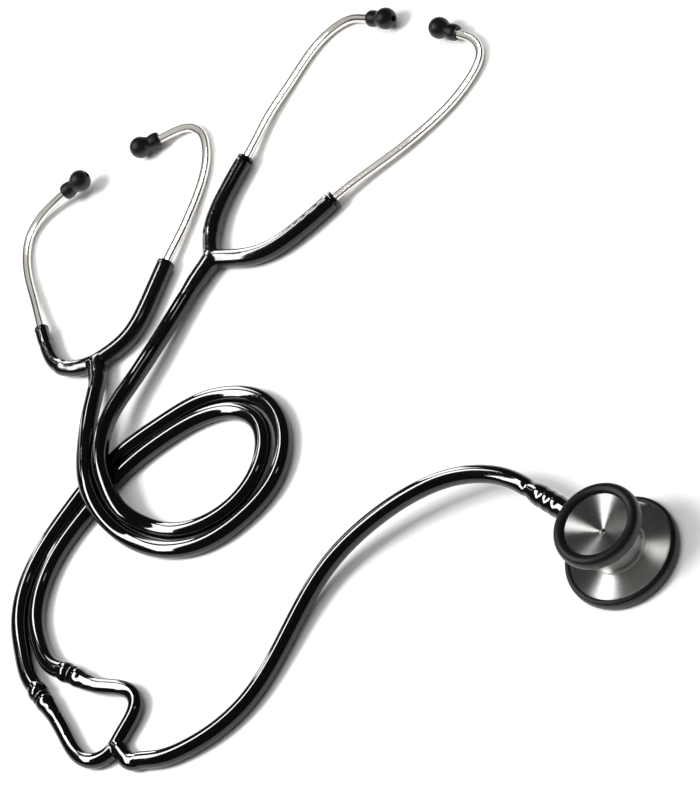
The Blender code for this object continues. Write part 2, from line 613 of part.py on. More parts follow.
def make_nut():
    profile = [
        (STEM_HOLE_RADIUS, NUT_END),
        (NUT_RADIUS - NUT_BEVEL, NUT_END),
        (NUT_RADIUS, NUT_END - NUT_BEVEL),
        (NUT_RADIUS, NUT_START),
        (STEM_HOLE_RADIUS, NUT_START)]
    nut = turned("stem_nut", profile, STEM_STEPS, axis_frame(STEM_BORE_CENTRE, STEM_DIRECTION))
    set_finish(nut, "steel")
    return nut


def make_chest_cuff():
    bore = CUFF_BORE_RADIUS
    radius = bore + CUFF_WALL
    waist = bore + CUFF_WAIST_WALL
    first = CUFF_END - CUFF_WAIST_LENGTH
    last = CUFF_START + CUFF_MOUTH_LENGTH
    profile = [
        (bore, CUFF_END),
        (waist, CUFF_END),
        (waist + (radius - waist) * 0.27, CUFF_END - CUFF_WAIST_LENGTH * 0.31)]
    count = 9
    for i in range(count):
        share = i / (count - 1)
        swell = CUFF_RIDGE * math.cos(math.tau * share * CUFF_RIDGE_COUNT)
        profile.append((radius + swell, first + (last - first) * share))
    profile += [(bore + CUFF_MOUTH_WALL, CUFF_START), (bore, CUFF_START)]
    cuff = turned("chest_cuff", profile, STEM_STEPS, axis_frame(STEM_BORE_CENTRE, STEM_DIRECTION))
    set_finish(cuff, "glossy_pvc")


# ---------------------------------------------------------------- tubing
def way(start, end):
    """Direction from one point to another."""
    return (Vector(end) - Vector(start)).normalized()


def make_cord(name, route, start_way, end_way):
    """A free tube whose two end faces square up to the pieces they meet."""
    start = Vector(route[0])
    end = Vector(route[-1])
    straight_start = start + start_way * TUBE_RADIUS
    straight_end = end - end_way * TUBE_RADIUS
    bent = [tuple(start), tuple(straight_start)] + route[1:-1] + [tuple(straight_end), tuple(end)]
    points = smooth_route(bent, TUBE_RADIUS * 3.5)
    points[0] = start
    points[-1] = end
    points[1:1] = [straight_start]
    points[-1:-1] = [straight_end]
    set_finish(tube_curve(name, points, TUBE_RADIUS, 3), "glossy_pvc")


def blended_radius(distance, stations):
    """Radius at a distance, eased between (distance, radius) stations."""
    if distance <= stations[0][0]:
        return stations[0][1]
    for (d0, r0), (d1, r1) in zip(stations, stations[1:]):
        if distance <= d1:
            share = (distance - d0) / (d1 - d0)
            share = share * share * (3.0 - 2.0 * share)
            return r0 + (r1 - r0) * share
    return stations[-1][1]


def make_connector(name, tube_end, arm_start):
    """Barbed connector and the stretched tube end over it; returns where the Y's arm begins."""
    start = Vector(tube_end)
    direction = (Vector(arm_start) - start).normalized()
    place = axis_frame(start, direction)
    cuff_start = GAP
    cuff_end = cuff_start + SMALL_CUFF_LENGTH
    flange_start = cuff_end + GAP
    flange_end = flange_start + CONNECTOR_FLANGE_LENGTH
    inner = SOCKET_RADIUS
    middle = (cuff_start + cuff_end) * 0.5
    cuff_profile = [
        (inner, cuff_end),
        (CONNECTOR_FLANGE_RADIUS - 0.0003, cuff_end),
        (SMALL_CUFF_RADIUS - 0.0001, middle + SMALL_CUFF_LENGTH * 0.28),
        (SMALL_CUFF_RADIUS, middle),
        (SMALL_CUFF_RADIUS - 0.0003, middle - SMALL_CUFF_LENGTH * 0.28),
        (TUBE_RADIUS, cuff_start),
        (inner, cuff_start)]
    cuff = turned(name.replace("connector", "cuff"), cuff_profile, SMALL_STEPS, place)
    set_finish(cuff, "glossy_pvc")
    barb_foot = cuff_start + SMALL_CUFF_LENGTH * 0.35
    far_end = flange_end + CONNECTOR_REACH
    far_barb = far_end - SMALL_CUFF_LENGTH * 0.45
    bevel = CONNECTOR_FLANGE_LENGTH * 0.25
    profile = [
        (CONNECTOR_BORE_RADIUS, far_end),
        (CONNECTOR_SHANK_RADIUS, far_end),
        (CONNECTOR_BARB_RADIUS, far_barb),
        (CONNECTOR_SHANK_RADIUS, far_barb - 0.0004),
        (CONNECTOR_SHANK_RADIUS, flange_end),
        (CONNECTOR_FLANGE_RADIUS - bevel, flange_end),
        (CONNECTOR_FLANGE_RADIUS, flange_end - bevel),
        (CONNECTOR_FLANGE_RADIUS, flange_start + bevel),
        (CONNECTOR_FLANGE_RADIUS - bevel, flange_start),
        (CONNECTOR_SHANK_RADIUS, flange_start),
        (CONNECTOR_SHANK_RADIUS, barb_foot + 0.0004),
        (CONNECTOR_BARB_RADIUS, barb_foot),
        (CONNECTOR_SHANK_RADIUS, cuff_start + GAP),
        (CONNECTOR_BORE_RADIUS, cuff_start + GAP)]
    set_finish(turned(name, profile, SMALL_STEPS, place), "polished_steel")
    return start + direction * (flange_end + GAP), start + direction * (far_end + 2.0 * GAP)


def make_heart():
    left_mouth, left_bottom = make_connector("student_connector", STUDENT_ROUTE[-1], HEART_ROUTE[0])
    right_mouth, right_bottom = make_connector("teacher_connector", TEACHER_ROUTE[-1], HEART_ROUTE[-1])
    middle = HEART_ROUTE[1:-1]
    line = smooth_route([tuple(left_mouth)] + middle + [tuple(right_mouth)], HEART_RADIUS * 0.75)
    lengths = route_lengths(line)
    stations = [
        (0.0, HEART_MOUTH_RADIUS - 0.0005),
        (0.0022, HEART_MOUTH_RADIUS),
        (0.0065, HEART_RADIUS + 0.0002),
        (0.0110, HEART_RADIUS)]
    radii = [blended_radius(min(d, lengths[-1] - d), stations) for d in lengths]
    heart = as_mesh(tube_curve("heart_y", line, radii, 3))
    stub_end = Vector(CHEST_ROUTE[-1])
    stub_way = (stub_end - Vector(CHEST_ROUTE[-2])).normalized()
    stub_face = stub_end + stub_way * GAP
    stub_inside = stub_end + stub_way * HEART_STUB_RADIUS
    stub_route = HEART_STUB_ROUTE + [tuple(stub_inside)]
    stub_line = smooth_route(stub_route + [tuple(stub_face)], HEART_RADIUS * 0.6)
    stub_lengths = route_lengths(stub_line)
    widening = [(0.0, HEART_RADIUS * 0.75), (HEART_RADIUS, HEART_STUB_RADIUS)]
    stub_radii = [blended_radius(d, widening) for d in stub_lengths]
    cut(heart, as_mesh(tube_curve("heart_stub", stub_line, stub_radii, 3)), "UNION")
    overlap = 0.0006
    ends = []
    for side, mouth, bottom in (("left", left_mouth, left_bottom), ("right", right_mouth, right_bottom)):
        outward = (mouth - bottom).normalized()
        ends.append(bottom + outward * overlap)
        socket = rod("heart_socket_" + side, mouth + outward * 0.002, bottom, SOCKET_RADIUS, SMALL_STEPS)
        cut(heart, socket)
    lumen_line = smooth_route([tuple(ends[0])] + middle[1:-1] + [tuple(ends[1])], HEART_RADIUS)
    cut(heart, as_mesh(tube_curve("heart_lumen", lumen_line, HEART_BORE_RADIUS, 1)))
    past_stub = stub_face - stub_way * 0.002
    stub_lumen = smooth_route(stub_route + [tuple(past_stub)], HEART_RADIUS)
    cut(heart, as_mesh(tube_curve("heart_stub_lumen", stub_lumen, HEART_BORE_RADIUS * 0.94, 1)))
    set_finish(heart, "glossy_pvc")


# ---------------------------------------------------------------- headsets
def make_yoke(name, fork, tail, pivots):
    """Fork with its tail to the tube and a short root towards each arm's pivot."""
    tail_face = tail[0]
    tail_inside = tail[1]
    line = smooth_route([tail_face, tail_inside, fork], YOKE_RADIUS)
    lengths = route_lengths(line)
    stations = [(0.0, TUBE_RADIUS), (lengths[-1] * 0.55, YOKE_RADIUS), (lengths[-1], YOKE_RADIUS + 0.0004)]
    radii = [blended_radius(d, stations) for d in lengths]
    yoke = as_mesh(tube_curve(name, line, radii, 3))
    bores = []
    back = (Vector(tail_face) - Vector(tail_inside)).normalized() * 0.002
    bore_line = [Vector(tail_face) + back, Vector(tail_inside), Vector(fork)]
    bore_line = smooth_route([tuple(p) for p in bore_line], YOKE_RADIUS)
    bores.append(as_mesh(tube_curve(name + "_bore", bore_line, HEART_BORE_RADIUS, 1)))
    for side, (pivot, direction) in pivots.items():
        face = pivot - direction * (ARM_ROOT_RADIUS + GAP)
        inside = face - direction * 0.001
        root_line = smooth_route([fork, tuple(inside), tuple(face)], ARM_ROOT_RADIUS * 0.5)
        root = as_mesh(tube_curve(name + "_root_" + side, root_line, ARM_ROOT_RADIUS, 3))
        cut(yoke, root, "UNION")
        beyond = [Vector(fork), inside, face + direction * 0.001]
        slot_line = smooth_route([tuple(p) for p in beyond], ARM_ROOT_RADIUS * 0.5)
        bores.append(as_mesh(tube_curve(name + "_slot_" + side, slot_line, ARM_ROOT_BORE_RADIUS, 2)))
    for bore in bores:
        cut(yoke, bore)
    set_finish(yoke, "glossy_pvc")


def make_arm(name, points, radius):
    """Arm with a round root about its pivot, a lumen and a socket for the ear tube."""
    line = smooth_route(points, radius)
    lengths = route_lengths(line)
    first = (line[1] - line[0]).normalized()
    root_points = []
    root_radii = []
    steps = 5
    for i in range(steps):
        angle = math.radians(12.0 + 78.0 * i / (steps - 1))
        root_points.append(line[0] - first * (ARM_ROOT_RADIUS * math.cos(angle)))
        root_radii.append(ARM_ROOT_RADIUS * math.sin(angle))
    end = lengths[-1]
    stations = [(0.0, ARM_ROOT_RADIUS), (0.0110, ARM_ROOT_RADIUS), (0.0190, radius), (end, radius * 0.97)]
    outer_points = root_points[:-1] + line
    outer_radii = root_radii[:-1] + [blended_radius(d, stations) for d in lengths]
    arm = as_mesh(tube_curve(name, outer_points, outer_radii, 3))
    socket_direction = (line[-1] - line[-2]).normalized()
    socket_bottom = line[-1] - socket_direction * SOCKET_LENGTH
    past_end = line[-1] + socket_direction * 0.002
    cut(arm, rod(name + "_socket", socket_bottom, past_end, EAR_TUBE_RADIUS + GAP, SMALL_STEPS))
    bore_line = [line[0]] + [p for p, d in zip(line, lengths) if 0.003 < d < end - SOCKET_LENGTH]
    bore_line.append(socket_bottom + socket_direction * 0.001)
    cut(arm, as_mesh(tube_curve(name + "_lumen", bore_line, ARM_BORE_RADIUS, 1)))
    root_mouth = line[0] - first * (ARM_ROOT_RADIUS + 0.001)
    root_bottom = line[0] + first * ARM_ROOT_BORE_LENGTH
    cut(arm, rod(name + "_root_bore", root_mouth, root_bottom, ARM_ROOT_BORE_RADIUS, SMALL_STEPS))
    set_finish(arm, "glossy_pvc")
    return arm, line


def make_leaf_spring(name, fork, pivots):
    """Thin strip on edge through the fork, ending a little way inside each arm."""
    (left, left_way), (right, right_way) = pivots["left"], pivots["right"]
    points = [left + left_way * SPRING_REACH, left, Vector(fork), right, right + right_way * SPRING_REACH]
    level = left.z
    middle = smooth_route([(p.x, p.y, 0.0) for p in points], SPRING_STEP)
    data = bpy.data.curves.new(name, "CURVE")
    data.dimensions = "2D"
    data.fill_mode = "NONE"
    data.extrude = SPRING_WIDTH * 0.5
    spline = data.splines.new("POLY")
    spline.points.add(len(middle) - 1)
    for slot, point in zip(spline.points, middle):
        slot.co = (*point, 1.0)
    spring = bpy.data.objects.new(name, data)
    spring.location.z = level
    parts.objects.link(spring)
    sheet = spring.modifiers.new("Thickness", "SOLIDIFY")
    sheet.thickness = SPRING_THICKNESS
    sheet.offset = 0.0
    set_finish(spring, "spring_steel")


def make_ear_tube(name, arm_line, points):
    """Bent steel tube from the arm's socket to inside the eartip."""
    socket_direction = (arm_line[-1] - arm_line[-2]).normalized()
    start = arm_line[-1] - socket_direction * (SOCKET_LENGTH - GAP)
    ball = Vector(points[-1])
    tip_way = (ball - Vector(points[-2])).normalized()
    tip_start = ball - tip_way * (EARTIP_SLEEVE_LENGTH + EARTIP_BALL_RADIUS)
    tip_end = tip_start + tip_way * EARTIP_GRIP
    straight = [start, arm_line[-1] - socket_direction * SOCKET_LENGTH * 0.5, arm_line[-1]]
    bend = [tuple(p) for p in straight] + list(points[:-2])
    bend += [tuple(tip_start), tuple((tip_start + tip_end) * 0.5), tuple(tip_end)]
    line = smooth_route(bend, EAR_TUBE_RADIUS * 2.5)
    tube = tube_curve(name, line, EAR_TUBE_RADIUS, 2, caps=False)
    wall = tube.modifiers.new("Wall", "SOLIDIFY")
    wall.thickness = EAR_TUBE_WALL
    wall.offset = -1.0
    set_finish(tube, "polished_steel")
    return tube, tip_start, tip_way


def make_eartip(name, tip_start, tip_way):
    """Soft sleeve and ball, pushed over the ear tube's end."""
    bore = EAR_TUBE_RADIUS + GAP
    shelf = EARTIP_GRIP + GAP
    ball = EARTIP_BALL_RADIUS
    centre = EARTIP_SLEEVE_LENGTH + ball
    opening = math.degrees(math.asin(EARTIP_SOUND_RADIUS / ball))
    ball_top = centre + ball * math.cos(math.radians(opening))
    profile = [(EARTIP_SOUND_RADIUS, shelf)]
    profile.append((EARTIP_SOUND_RADIUS, ball_top - ball * 0.08))
    profile += arc(0.0, centre, ball, 90.0 - opening - 4.0, -38.0, 7)
    profile += [
        (EARTIP_GROOVE_RADIUS, centre - ball * 0.86),
        (EARTIP_SLEEVE_RADIUS - EARTIP_BEVEL * 0.4, centre - ball * 1.12),
        (EARTIP_SLEEVE_RADIUS, EARTIP_SLEEVE_LENGTH * 0.42),
        (EARTIP_SLEEVE_RADIUS - EARTIP_BEVEL, 0.0),
        (bore, 0.0),
        (bore, shelf)]
    eartip = turned(name, profile, SMALL_STEPS, axis_frame(tip_start, tip_way))
    set_finish(eartip, "soft_rubber")
    return eartip


def make_headset(name, spec):
    tube_end = Vector(spec["route"][0])
    tube_way = (tube_end - Vector(spec["route"][1])).normalized()
    tail_face = tube_end + tube_way * GAP
    tail = (tuple(tail_face), tuple(tail_face + tube_way * 0.005))
    pivots = {}
    for side in ("left", "right"):
        arm_line = smooth_route(spec[side]["arm"], spec[side]["radius"])
        pivots[side] = (arm_line[0], (arm_line[1] - arm_line[0]).normalized())
    make_yoke(name + "_yoke", spec["fork"], tail, pivots)
    make_leaf_spring(name + "_spring", spec["fork"], pivots)
    for side in ("left", "right"):
        arm, arm_line = make_arm(name + "_arm_" + side, spec[side]["arm"], spec[side]["radius"])
        tube, tip_start, tip_way = make_ear_tube(name + "_ear_tube_" + side, arm_line, spec[side]["tube"])
        eartip = make_eartip(name + "_eartip_" + side, tip_start, tip_way)
        socket_way = arm_line[-1] - arm_line[-2]
        twist = make_pivot(name + "_twist_" + side, arm_line[-1], socket_way, [tube, eartip])
        make_pivot(name + "_spread_" + side, arm_line[0], UP, [arm, twist])


# ---------------------------------------------------------------- assembly
clear_scene()
parts = new_collection("teaching_stethoscope")
cutters = new_collection("cutters")
head_pieces = [make_diaphragm(), make_rim(), make_bell_ring(), make_chest_body(), make_nut()]
head_pieces += make_detent()
make_pivot("head_swivel", STEM_BORE_CENTRE, STEM_DIRECTION, head_pieces)
make_stem()
make_chest_cuff()
make_cord("chest_tube", [tuple(on_stem(CUFF_END + GAP))] + CHEST_ROUTE,
          STEM_DIRECTION, way(CHEST_ROUTE[-2], CHEST_ROUTE[-1]))
make_cord("student_tube", STUDENT_ROUTE,
          way(STUDENT_ROUTE[0], STUDENT_ROUTE[1]), way(STUDENT_ROUTE[-1], HEART_ROUTE[0]))
make_cord("teacher_tube", TEACHER_ROUTE,
          way(TEACHER_ROUTE[0], TEACHER_ROUTE[1]), way(TEACHER_ROUTE[-1], HEART_ROUTE[-1]))
make_heart()
for headset_name, headset in HEADSETS.items():
    make_headset(headset_name, headset)
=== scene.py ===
import json
import math

import bmesh
import bpy
import numpy as np
from mathutils import Matrix, Vector
from mathutils.kdtree import KDTree

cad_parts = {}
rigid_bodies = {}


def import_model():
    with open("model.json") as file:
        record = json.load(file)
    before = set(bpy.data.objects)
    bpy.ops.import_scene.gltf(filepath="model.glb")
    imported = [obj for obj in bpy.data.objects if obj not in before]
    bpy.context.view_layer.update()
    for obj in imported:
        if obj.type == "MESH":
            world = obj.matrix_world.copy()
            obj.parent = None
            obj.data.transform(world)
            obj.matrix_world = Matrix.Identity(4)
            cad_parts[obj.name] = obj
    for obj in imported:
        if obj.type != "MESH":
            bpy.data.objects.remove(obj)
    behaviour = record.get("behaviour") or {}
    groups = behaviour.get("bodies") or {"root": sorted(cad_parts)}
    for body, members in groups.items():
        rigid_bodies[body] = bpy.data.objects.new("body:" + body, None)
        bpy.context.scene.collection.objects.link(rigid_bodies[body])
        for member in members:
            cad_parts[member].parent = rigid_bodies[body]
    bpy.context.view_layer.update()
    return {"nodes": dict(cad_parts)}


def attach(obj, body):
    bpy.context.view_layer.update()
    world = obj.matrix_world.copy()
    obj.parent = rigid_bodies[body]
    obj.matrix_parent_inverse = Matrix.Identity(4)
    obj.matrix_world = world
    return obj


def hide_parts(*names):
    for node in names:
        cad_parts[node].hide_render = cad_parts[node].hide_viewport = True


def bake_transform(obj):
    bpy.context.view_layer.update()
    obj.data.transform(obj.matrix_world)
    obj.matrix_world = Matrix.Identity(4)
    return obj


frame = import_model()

mm = 0.001
scene = bpy.context.scene
print("frame loaded:", len(frame["nodes"]), "CAD nodes")

# camera, above the near edge of the table and rolled to lay the tubing diagonally
cameraView = {
    "place": (-0.0344, -1.2512, 1.5483),
    "target": (-0.0344, 0.1675, 0.0),
    "rollDegrees": 44.0,
    "lens": 226.0,
}


def makeCamera():
    data = bpy.data.cameras.new("tableCamera")
    data.lens = cameraView["lens"]
    data.sensor_width = 36.0
    data.clip_start = 0.05
    data.clip_end = 20.0
    camera = bpy.data.objects.new("tableCamera", data)
    scene.collection.objects.link(camera)
    back = (Vector(cameraView["place"]) - Vector(cameraView["target"])).normalized()
    sideways = Vector((1.0, 0.0, 0.0))
    upward = back.cross(sideways)
    roll = math.radians(cameraView["rollDegrees"])
    right = sideways * math.cos(roll) - upward * math.sin(roll)
    top = sideways * math.sin(roll) + upward * math.cos(roll)
    turn = Matrix((right, top, back)).transposed()
    camera.matrix_world = Matrix.Translation(cameraView["place"]) @ turn.to_4x4()
    scene.camera = camera


makeCamera()
scene.view_settings.view_transform = "Standard"
scene.view_settings.look = "None"
print("camera set")


# materials
def newMaterial(name):
    material = bpy.data.materials.new(name)
    material.use_nodes = True
    tree = material.node_tree
    return material, tree, tree.nodes["Principled BSDF"]


def addNode(tree, kind, **settings):
    node = tree.nodes.new(kind)
    for key, value in settings.items():
        setattr(node, key, value)
    return node


def objectPoint(tree):
    return addNode(tree, "ShaderNodeTexCoord").outputs["Object"]


def noiseAt(tree, point, scale, detail=3.0, rough=0.5):
    node = addNode(tree, "ShaderNodeTexNoise")
    node.inputs["Scale"].default_value = scale
    node.inputs["Detail"].default_value = detail
    node.inputs["Roughness"].default_value = rough
    tree.links.new(point, node.inputs["Vector"])
    return node.outputs["Fac"]


def spread(tree, value, low, high, fromLow=0.3, fromHigh=0.7):
    node = addNode(tree, "ShaderNodeMapRange")
    node.inputs["From Min"].default_value = fromLow
    node.inputs["From Max"].default_value = fromHigh
    node.inputs["To Min"].default_value = low
    node.inputs["To Max"].default_value = high
    tree.links.new(value, node.inputs["Value"])
    return node.outputs["Result"]


def ramp(tree, value, stops):
    node = addNode(tree, "ShaderNodeValToRGB")
    bar = node.color_ramp
    while len(bar.elements) < len(stops):
        bar.elements.new(0.5)
    for element, (where, colour) in zip(bar.elements, stops):
        element.position = where
        element.color = (*colour, 1.0)
    tree.links.new(value, node.inputs["Fac"])
    return node.outputs["Color"]


def bump(tree, height, strength, distance, shader):
    node = addNode(tree, "ShaderNodeBump")
    node.inputs["Strength"].default_value = strength
    node.inputs["Distance"].default_value = distance
    tree.links.new(height, node.inputs["Height"])
    tree.links.new(node.outputs["Normal"], shader.inputs["Normal"])


def glossyVinyl(name, look):
    # dipped black vinyl: deep colour, hard gloss, faint flow marks and a few dull specks
    material, tree, shader = newMaterial(name)
    point = objectPoint(tree)
    tone = ramp(tree, noiseAt(tree, point, 60.0), ((0.35, look["deep"]), (0.75, look["worn"])))
    tree.links.new(tone, shader.inputs["Base Color"])
    dull = spread(tree, noiseAt(tree, point, 900.0, 2.0), look["gloss"], look["dull"], 0.45, 0.80)
    tree.links.new(dull, shader.inputs["Roughness"])
    shader.inputs["IOR"].default_value = 1.5
    shader.inputs["Specular IOR Level"].default_value = look["shine"]
    bump(tree, noiseAt(tree, point, look["flowScale"], 1.5), look["flow"], 0.0004, shader)
    return material


def softRubber(name, look):
    # moulded soft rubber: even charcoal, fine grain, paler where it is handled
    material, tree, shader = newMaterial(name)
    point = objectPoint(tree)
    tone = ramp(tree, noiseAt(tree, point, 140.0, 4.0), ((0.30, look["deep"]), (0.75, look["worn"])))
    tree.links.new(tone, shader.inputs["Base Color"])
    grain = noiseAt(tree, point, 2600.0, 4.0, 0.6)
    tree.links.new(spread(tree, grain, look["gloss"], look["dull"]), shader.inputs["Roughness"])
    shader.inputs["Specular IOR Level"].default_value = look["shine"]
    shader.inputs["Sheen Weight"].default_value = look["bloom"]
    shader.inputs["Sheen Roughness"].default_value = 0.4
    bump(tree, grain, 0.25, 0.00006, shader)
    return material


def turnedSteel(name, look):
    # lathe-turned steel: fine rings round the axis that pull each light into a wedge
    material, tree, shader = newMaterial(name)
    point = objectPoint(tree)
    split = addNode(tree, "ShaderNodeSeparateXYZ")
    tree.links.new(point, split.inputs["Vector"])
    flat = addNode(tree, "ShaderNodeCombineXYZ")
    tree.links.new(split.outputs["X"], flat.inputs["X"])
    tree.links.new(split.outputs["Y"], flat.inputs["Y"])
    length = addNode(tree, "ShaderNodeVectorMath", operation="LENGTH")
    tree.links.new(flat.outputs["Vector"], length.inputs[0])
    rings = addNode(tree, "ShaderNodeCombineXYZ")
    tree.links.new(length.outputs["Value"], rings.inputs["X"])
    tree.links.new(split.outputs["Z"], rings.inputs["Y"])
    groove = noiseAt(tree, rings.outputs["Vector"], look["ringScale"], 4.0, 0.65)
    tone = ramp(tree, groove, ((0.30, look["dark"]), (0.70, look["pale"])))
    tree.links.new(tone, shader.inputs["Base Color"])
    tree.links.new(spread(tree, groove, look["gloss"], look["dull"]), shader.inputs["Roughness"])
    shader.inputs["Metallic"].default_value = 1.0
    shader.inputs["Anisotropic"].default_value = look["pull"]
    shader.inputs["Anisotropic Rotation"].default_value = look["turn"]
    tangent = addNode(tree, "ShaderNodeTangent", direction_type="RADIAL", axis="Z")
    tree.links.new(tangent.outputs["Tangent"], shader.inputs["Tangent"])
    bump(tree, groove, look["ringDepth"], 0.00004, shader)
    return material


def polishedSteel(name, look):
    # drawn and polished steel: warm, mirror-like, with faint haze and fine scratches
    material, tree, shader = newMaterial(name)
    point = objectPoint(tree)
    tone = ramp(tree, noiseAt(tree, point, 90.0), ((0.30, look["dark"]), (0.70, look["pale"])))
    tree.links.new(tone, shader.inputs["Base Color"])
    haze = noiseAt(tree, point, 1500.0, 3.0)
    tree.links.new(spread(tree, haze, look["gloss"], look["dull"]), shader.inputs["Roughness"])
    shader.inputs["Metallic"].default_value = 1.0
    bump(tree, haze, 0.06, 0.00003, shader)
    return material


vinyl = glossyVinyl("blackVinyl", {
    "deep": (0.0011, 0.0012, 0.0015), "worn": (0.0019, 0.0021, 0.0025),
    "gloss": 0.05, "dull": 0.13, "shine": 0.5, "flow": 0.06, "flowScale": 85.0})
armVinyl = glossyVinyl("armVinyl", {
    "deep": (0.0016, 0.0017, 0.0020), "worn": (0.0030, 0.0032, 0.0036),
    "gloss": 0.11, "dull": 0.22, "shine": 0.5, "flow": 0.10, "flowScale": 110.0})
charcoalRubber = softRubber("charcoalRubber", {
    "deep": (0.0022, 0.0026, 0.0030), "worn": (0.0040, 0.0046, 0.0052),
    "gloss": 0.34, "dull": 0.48, "shine": 0.45, "bloom": 0.03})
headSteel = turnedSteel("turnedSteel", {
    "dark": (0.56, 0.55, 0.53), "pale": (0.70, 0.69, 0.67), "ringScale": 2600.0,
    "gloss": 0.28, "dull": 0.37, "pull": 0.95, "turn": 0.25, "ringDepth": 0.05})
tubeSteel = polishedSteel("polishedSteel", {
    "dark": (0.70, 0.68, 0.63), "pale": (0.80, 0.78, 0.73), "gloss": 0.10, "dull": 0.20})
sheetPlastic = softRubber("diaphragmSheet", {
    "deep": (0.020, 0.020, 0.022), "worn": (0.030, 0.030, 0.033),
    "gloss": 0.25, "dull": 0.35, "shine": 0.5, "bloom": 0.0})
springSteel = polishedSteel("springSteel", {
    "dark": (0.40, 0.40, 0.41), "pale": (0.52, 0.52, 0.53), "gloss": 0.28, "dull": 0.40})
print("materials made")


# shapes
def smoothRoute(points, spacing):
    # points at an even spacing on a natural cubic curve through the given ones
    knots = np.array([tuple(p) for p in points], dtype=float)
    steps = np.linalg.norm(np.diff(knots, axis=0), axis=1)
    at = np.concatenate(([0.0], np.cumsum(steps)))
    count = len(knots)
    system = np.zeros((count, count))
    right = np.zeros_like(knots)
    system[0, 0] = system[-1, -1] = 1.0
    for i in range(1, count - 1):
        system[i, i - 1] = steps[i - 1]
        system[i, i] = 2.0 * (steps[i - 1] + steps[i])
        system[i, i + 1] = steps[i]
        slopeAfter = (knots[i + 1] - knots[i]) / steps[i]
        slopeBefore = (knots[i] - knots[i - 1]) / steps[i - 1]
        right[i] = 6.0 * (slopeAfter - slopeBefore)
    bend = np.linalg.solve(system, right)
    result = []
    for where in np.linspace(0.0, at[-1], max(3, int(round(at[-1] / spacing)) + 1)):
        i = min(int(np.searchsorted(at, where, side="right")) - 1, count - 2)
        a = (at[i + 1] - where) / steps[i]
        b = (where - at[i]) / steps[i]
        point = a * knots[i] + b * knots[i + 1]
        point += ((a ** 3 - a) * bend[i] + (b ** 3 - b) * bend[i + 1]) * steps[i] ** 2 / 6.0
        result.append(Vector(point))
    return result


def distances(points):
    result = [0.0]
    for before, after in zip(points, points[1:]):
        result.append(result[-1] + (after - before).length)
    return result


def easedRadius(distance, stations):
    # radius at a distance, eased between (distance, radius) pairs
    if distance <= stations[0][0]:
        return stations[0][1]
    for (d0, r0), (d1, r1) in zip(stations, stations[1:]):
        if distance <= d1:
            share = (distance - d0) / max(d1 - d0, 1e-9)
            return r0 + (r1 - r0) * share * share * (3.0 - 2.0 * share)
    return stations[-1][1]


def towards(start, end):
    return (Vector(end) - Vector(start)).normalized()


def newObject(name, data, material):
    obj = bpy.data.objects.new(name, data)
    scene.collection.objects.link(obj)
    if material is not None:
        obj.data.materials.append(material)
    return obj


def barCurve(name, points, radii, material, sides=8):
    data = bpy.data.curves.new(name, "CURVE")
    data.dimensions = "3D"
    data.twist_mode = "MINIMUM"
    data.bevel_depth = 1.0
    data.bevel_resolution = sides
    data.use_fill_caps = True
    spline = data.splines.new("POLY")
    spline.points.add(len(points) - 1)
    for slot, point, radius in zip(spline.points, points, radii):
        slot.co = (*point, 1.0)
        slot.radius = radius
    return newObject(name, data, material)


def curveToMesh(curve):
    bpy.context.view_layer.update()
    graph = bpy.context.evaluated_depsgraph_get()
    mesh = bpy.data.meshes.new_from_object(curve.evaluated_get(graph))
    work = bmesh.new()
    work.from_mesh(mesh)
    bmesh.ops.remove_doubles(work, verts=work.verts, dist=0.00002)
    bmesh.ops.recalc_face_normals(work, faces=work.faces)
    work.to_mesh(mesh)
    work.free()
    bpy.data.objects.remove(curve, do_unlink=True)
    return mesh


def easedOutline(corners, steps=4):
    # (radius, height, rounding) corners become a smooth outline
    result = []
    for i, (r, z, rounding) in enumerate(corners):
        here = Vector((r, z))
        if rounding <= 0.0 or i == 0 or i == len(corners) - 1:
            result.append((r, z))
            continue
        before = Vector(corners[i - 1][:2]) - here
        after = Vector(corners[i + 1][:2]) - here
        first = here + before.normalized() * min(rounding, before.length * 0.49)
        last = here + after.normalized() * min(rounding, after.length * 0.49)
        for k in range(steps + 1):
            t = k / steps
            point = first * (1 - t) ** 2 + here * 2 * t * (1 - t) + last * t * t
            result.append((point.x, point.y))
    return result


def latheMesh(name, outline, sides, closed=False):
    # outline points are (radius, height) from the top down the outside
    work = bmesh.new()
    rings = []
    for r, z in outline:
        if r < 1e-7:
            rings.append([work.verts.new((0.0, 0.0, z))])
            continue
        ring = []
        for k in range(sides):
            angle = math.tau * k / sides
            ring.append(work.verts.new((r * math.cos(angle), r * math.sin(angle), z)))
        rings.append(ring)
    pairs = list(zip(rings, rings[1:]))
    if closed:
        pairs.append((rings[-1], rings[0]))
    for upper, lower in pairs:
        for k in range(sides):
            n = (k + 1) % sides
            if len(upper) == 1 and len(lower) == 1:
                continue
            if len(upper) == 1:
                work.faces.new((upper[0], lower[k], lower[n]))
            elif len(lower) == 1:
                work.faces.new((upper[k], lower[0], upper[n]))
            else:
                work.faces.new((upper[k], lower[k], lower[n], upper[n]))
    bmesh.ops.recalc_face_normals(work, faces=work.faces)
    mesh = bpy.data.meshes.new(name)
    work.to_mesh(mesh)
    work.free()
    mesh.shade_smooth()
    mesh.set_sharp_from_angle(angle=math.radians(32.0))
    return mesh


def axisPlace(origin, direction):
    turn = Vector(direction).normalized().to_track_quat("Z", "Y").to_matrix().to_4x4()
    return Matrix.Translation(origin) @ turn


def lathePiece(name, corners, sides, material, place=None, closed=False, steps=4):
    outline = easedOutline([(r * mm, z * mm, f * mm) for r, z, f in corners], steps)
    mesh = latheMesh(name, outline, sides, closed)
    if place is not None:
        mesh.transform(place)
    return newObject(name, mesh, material)


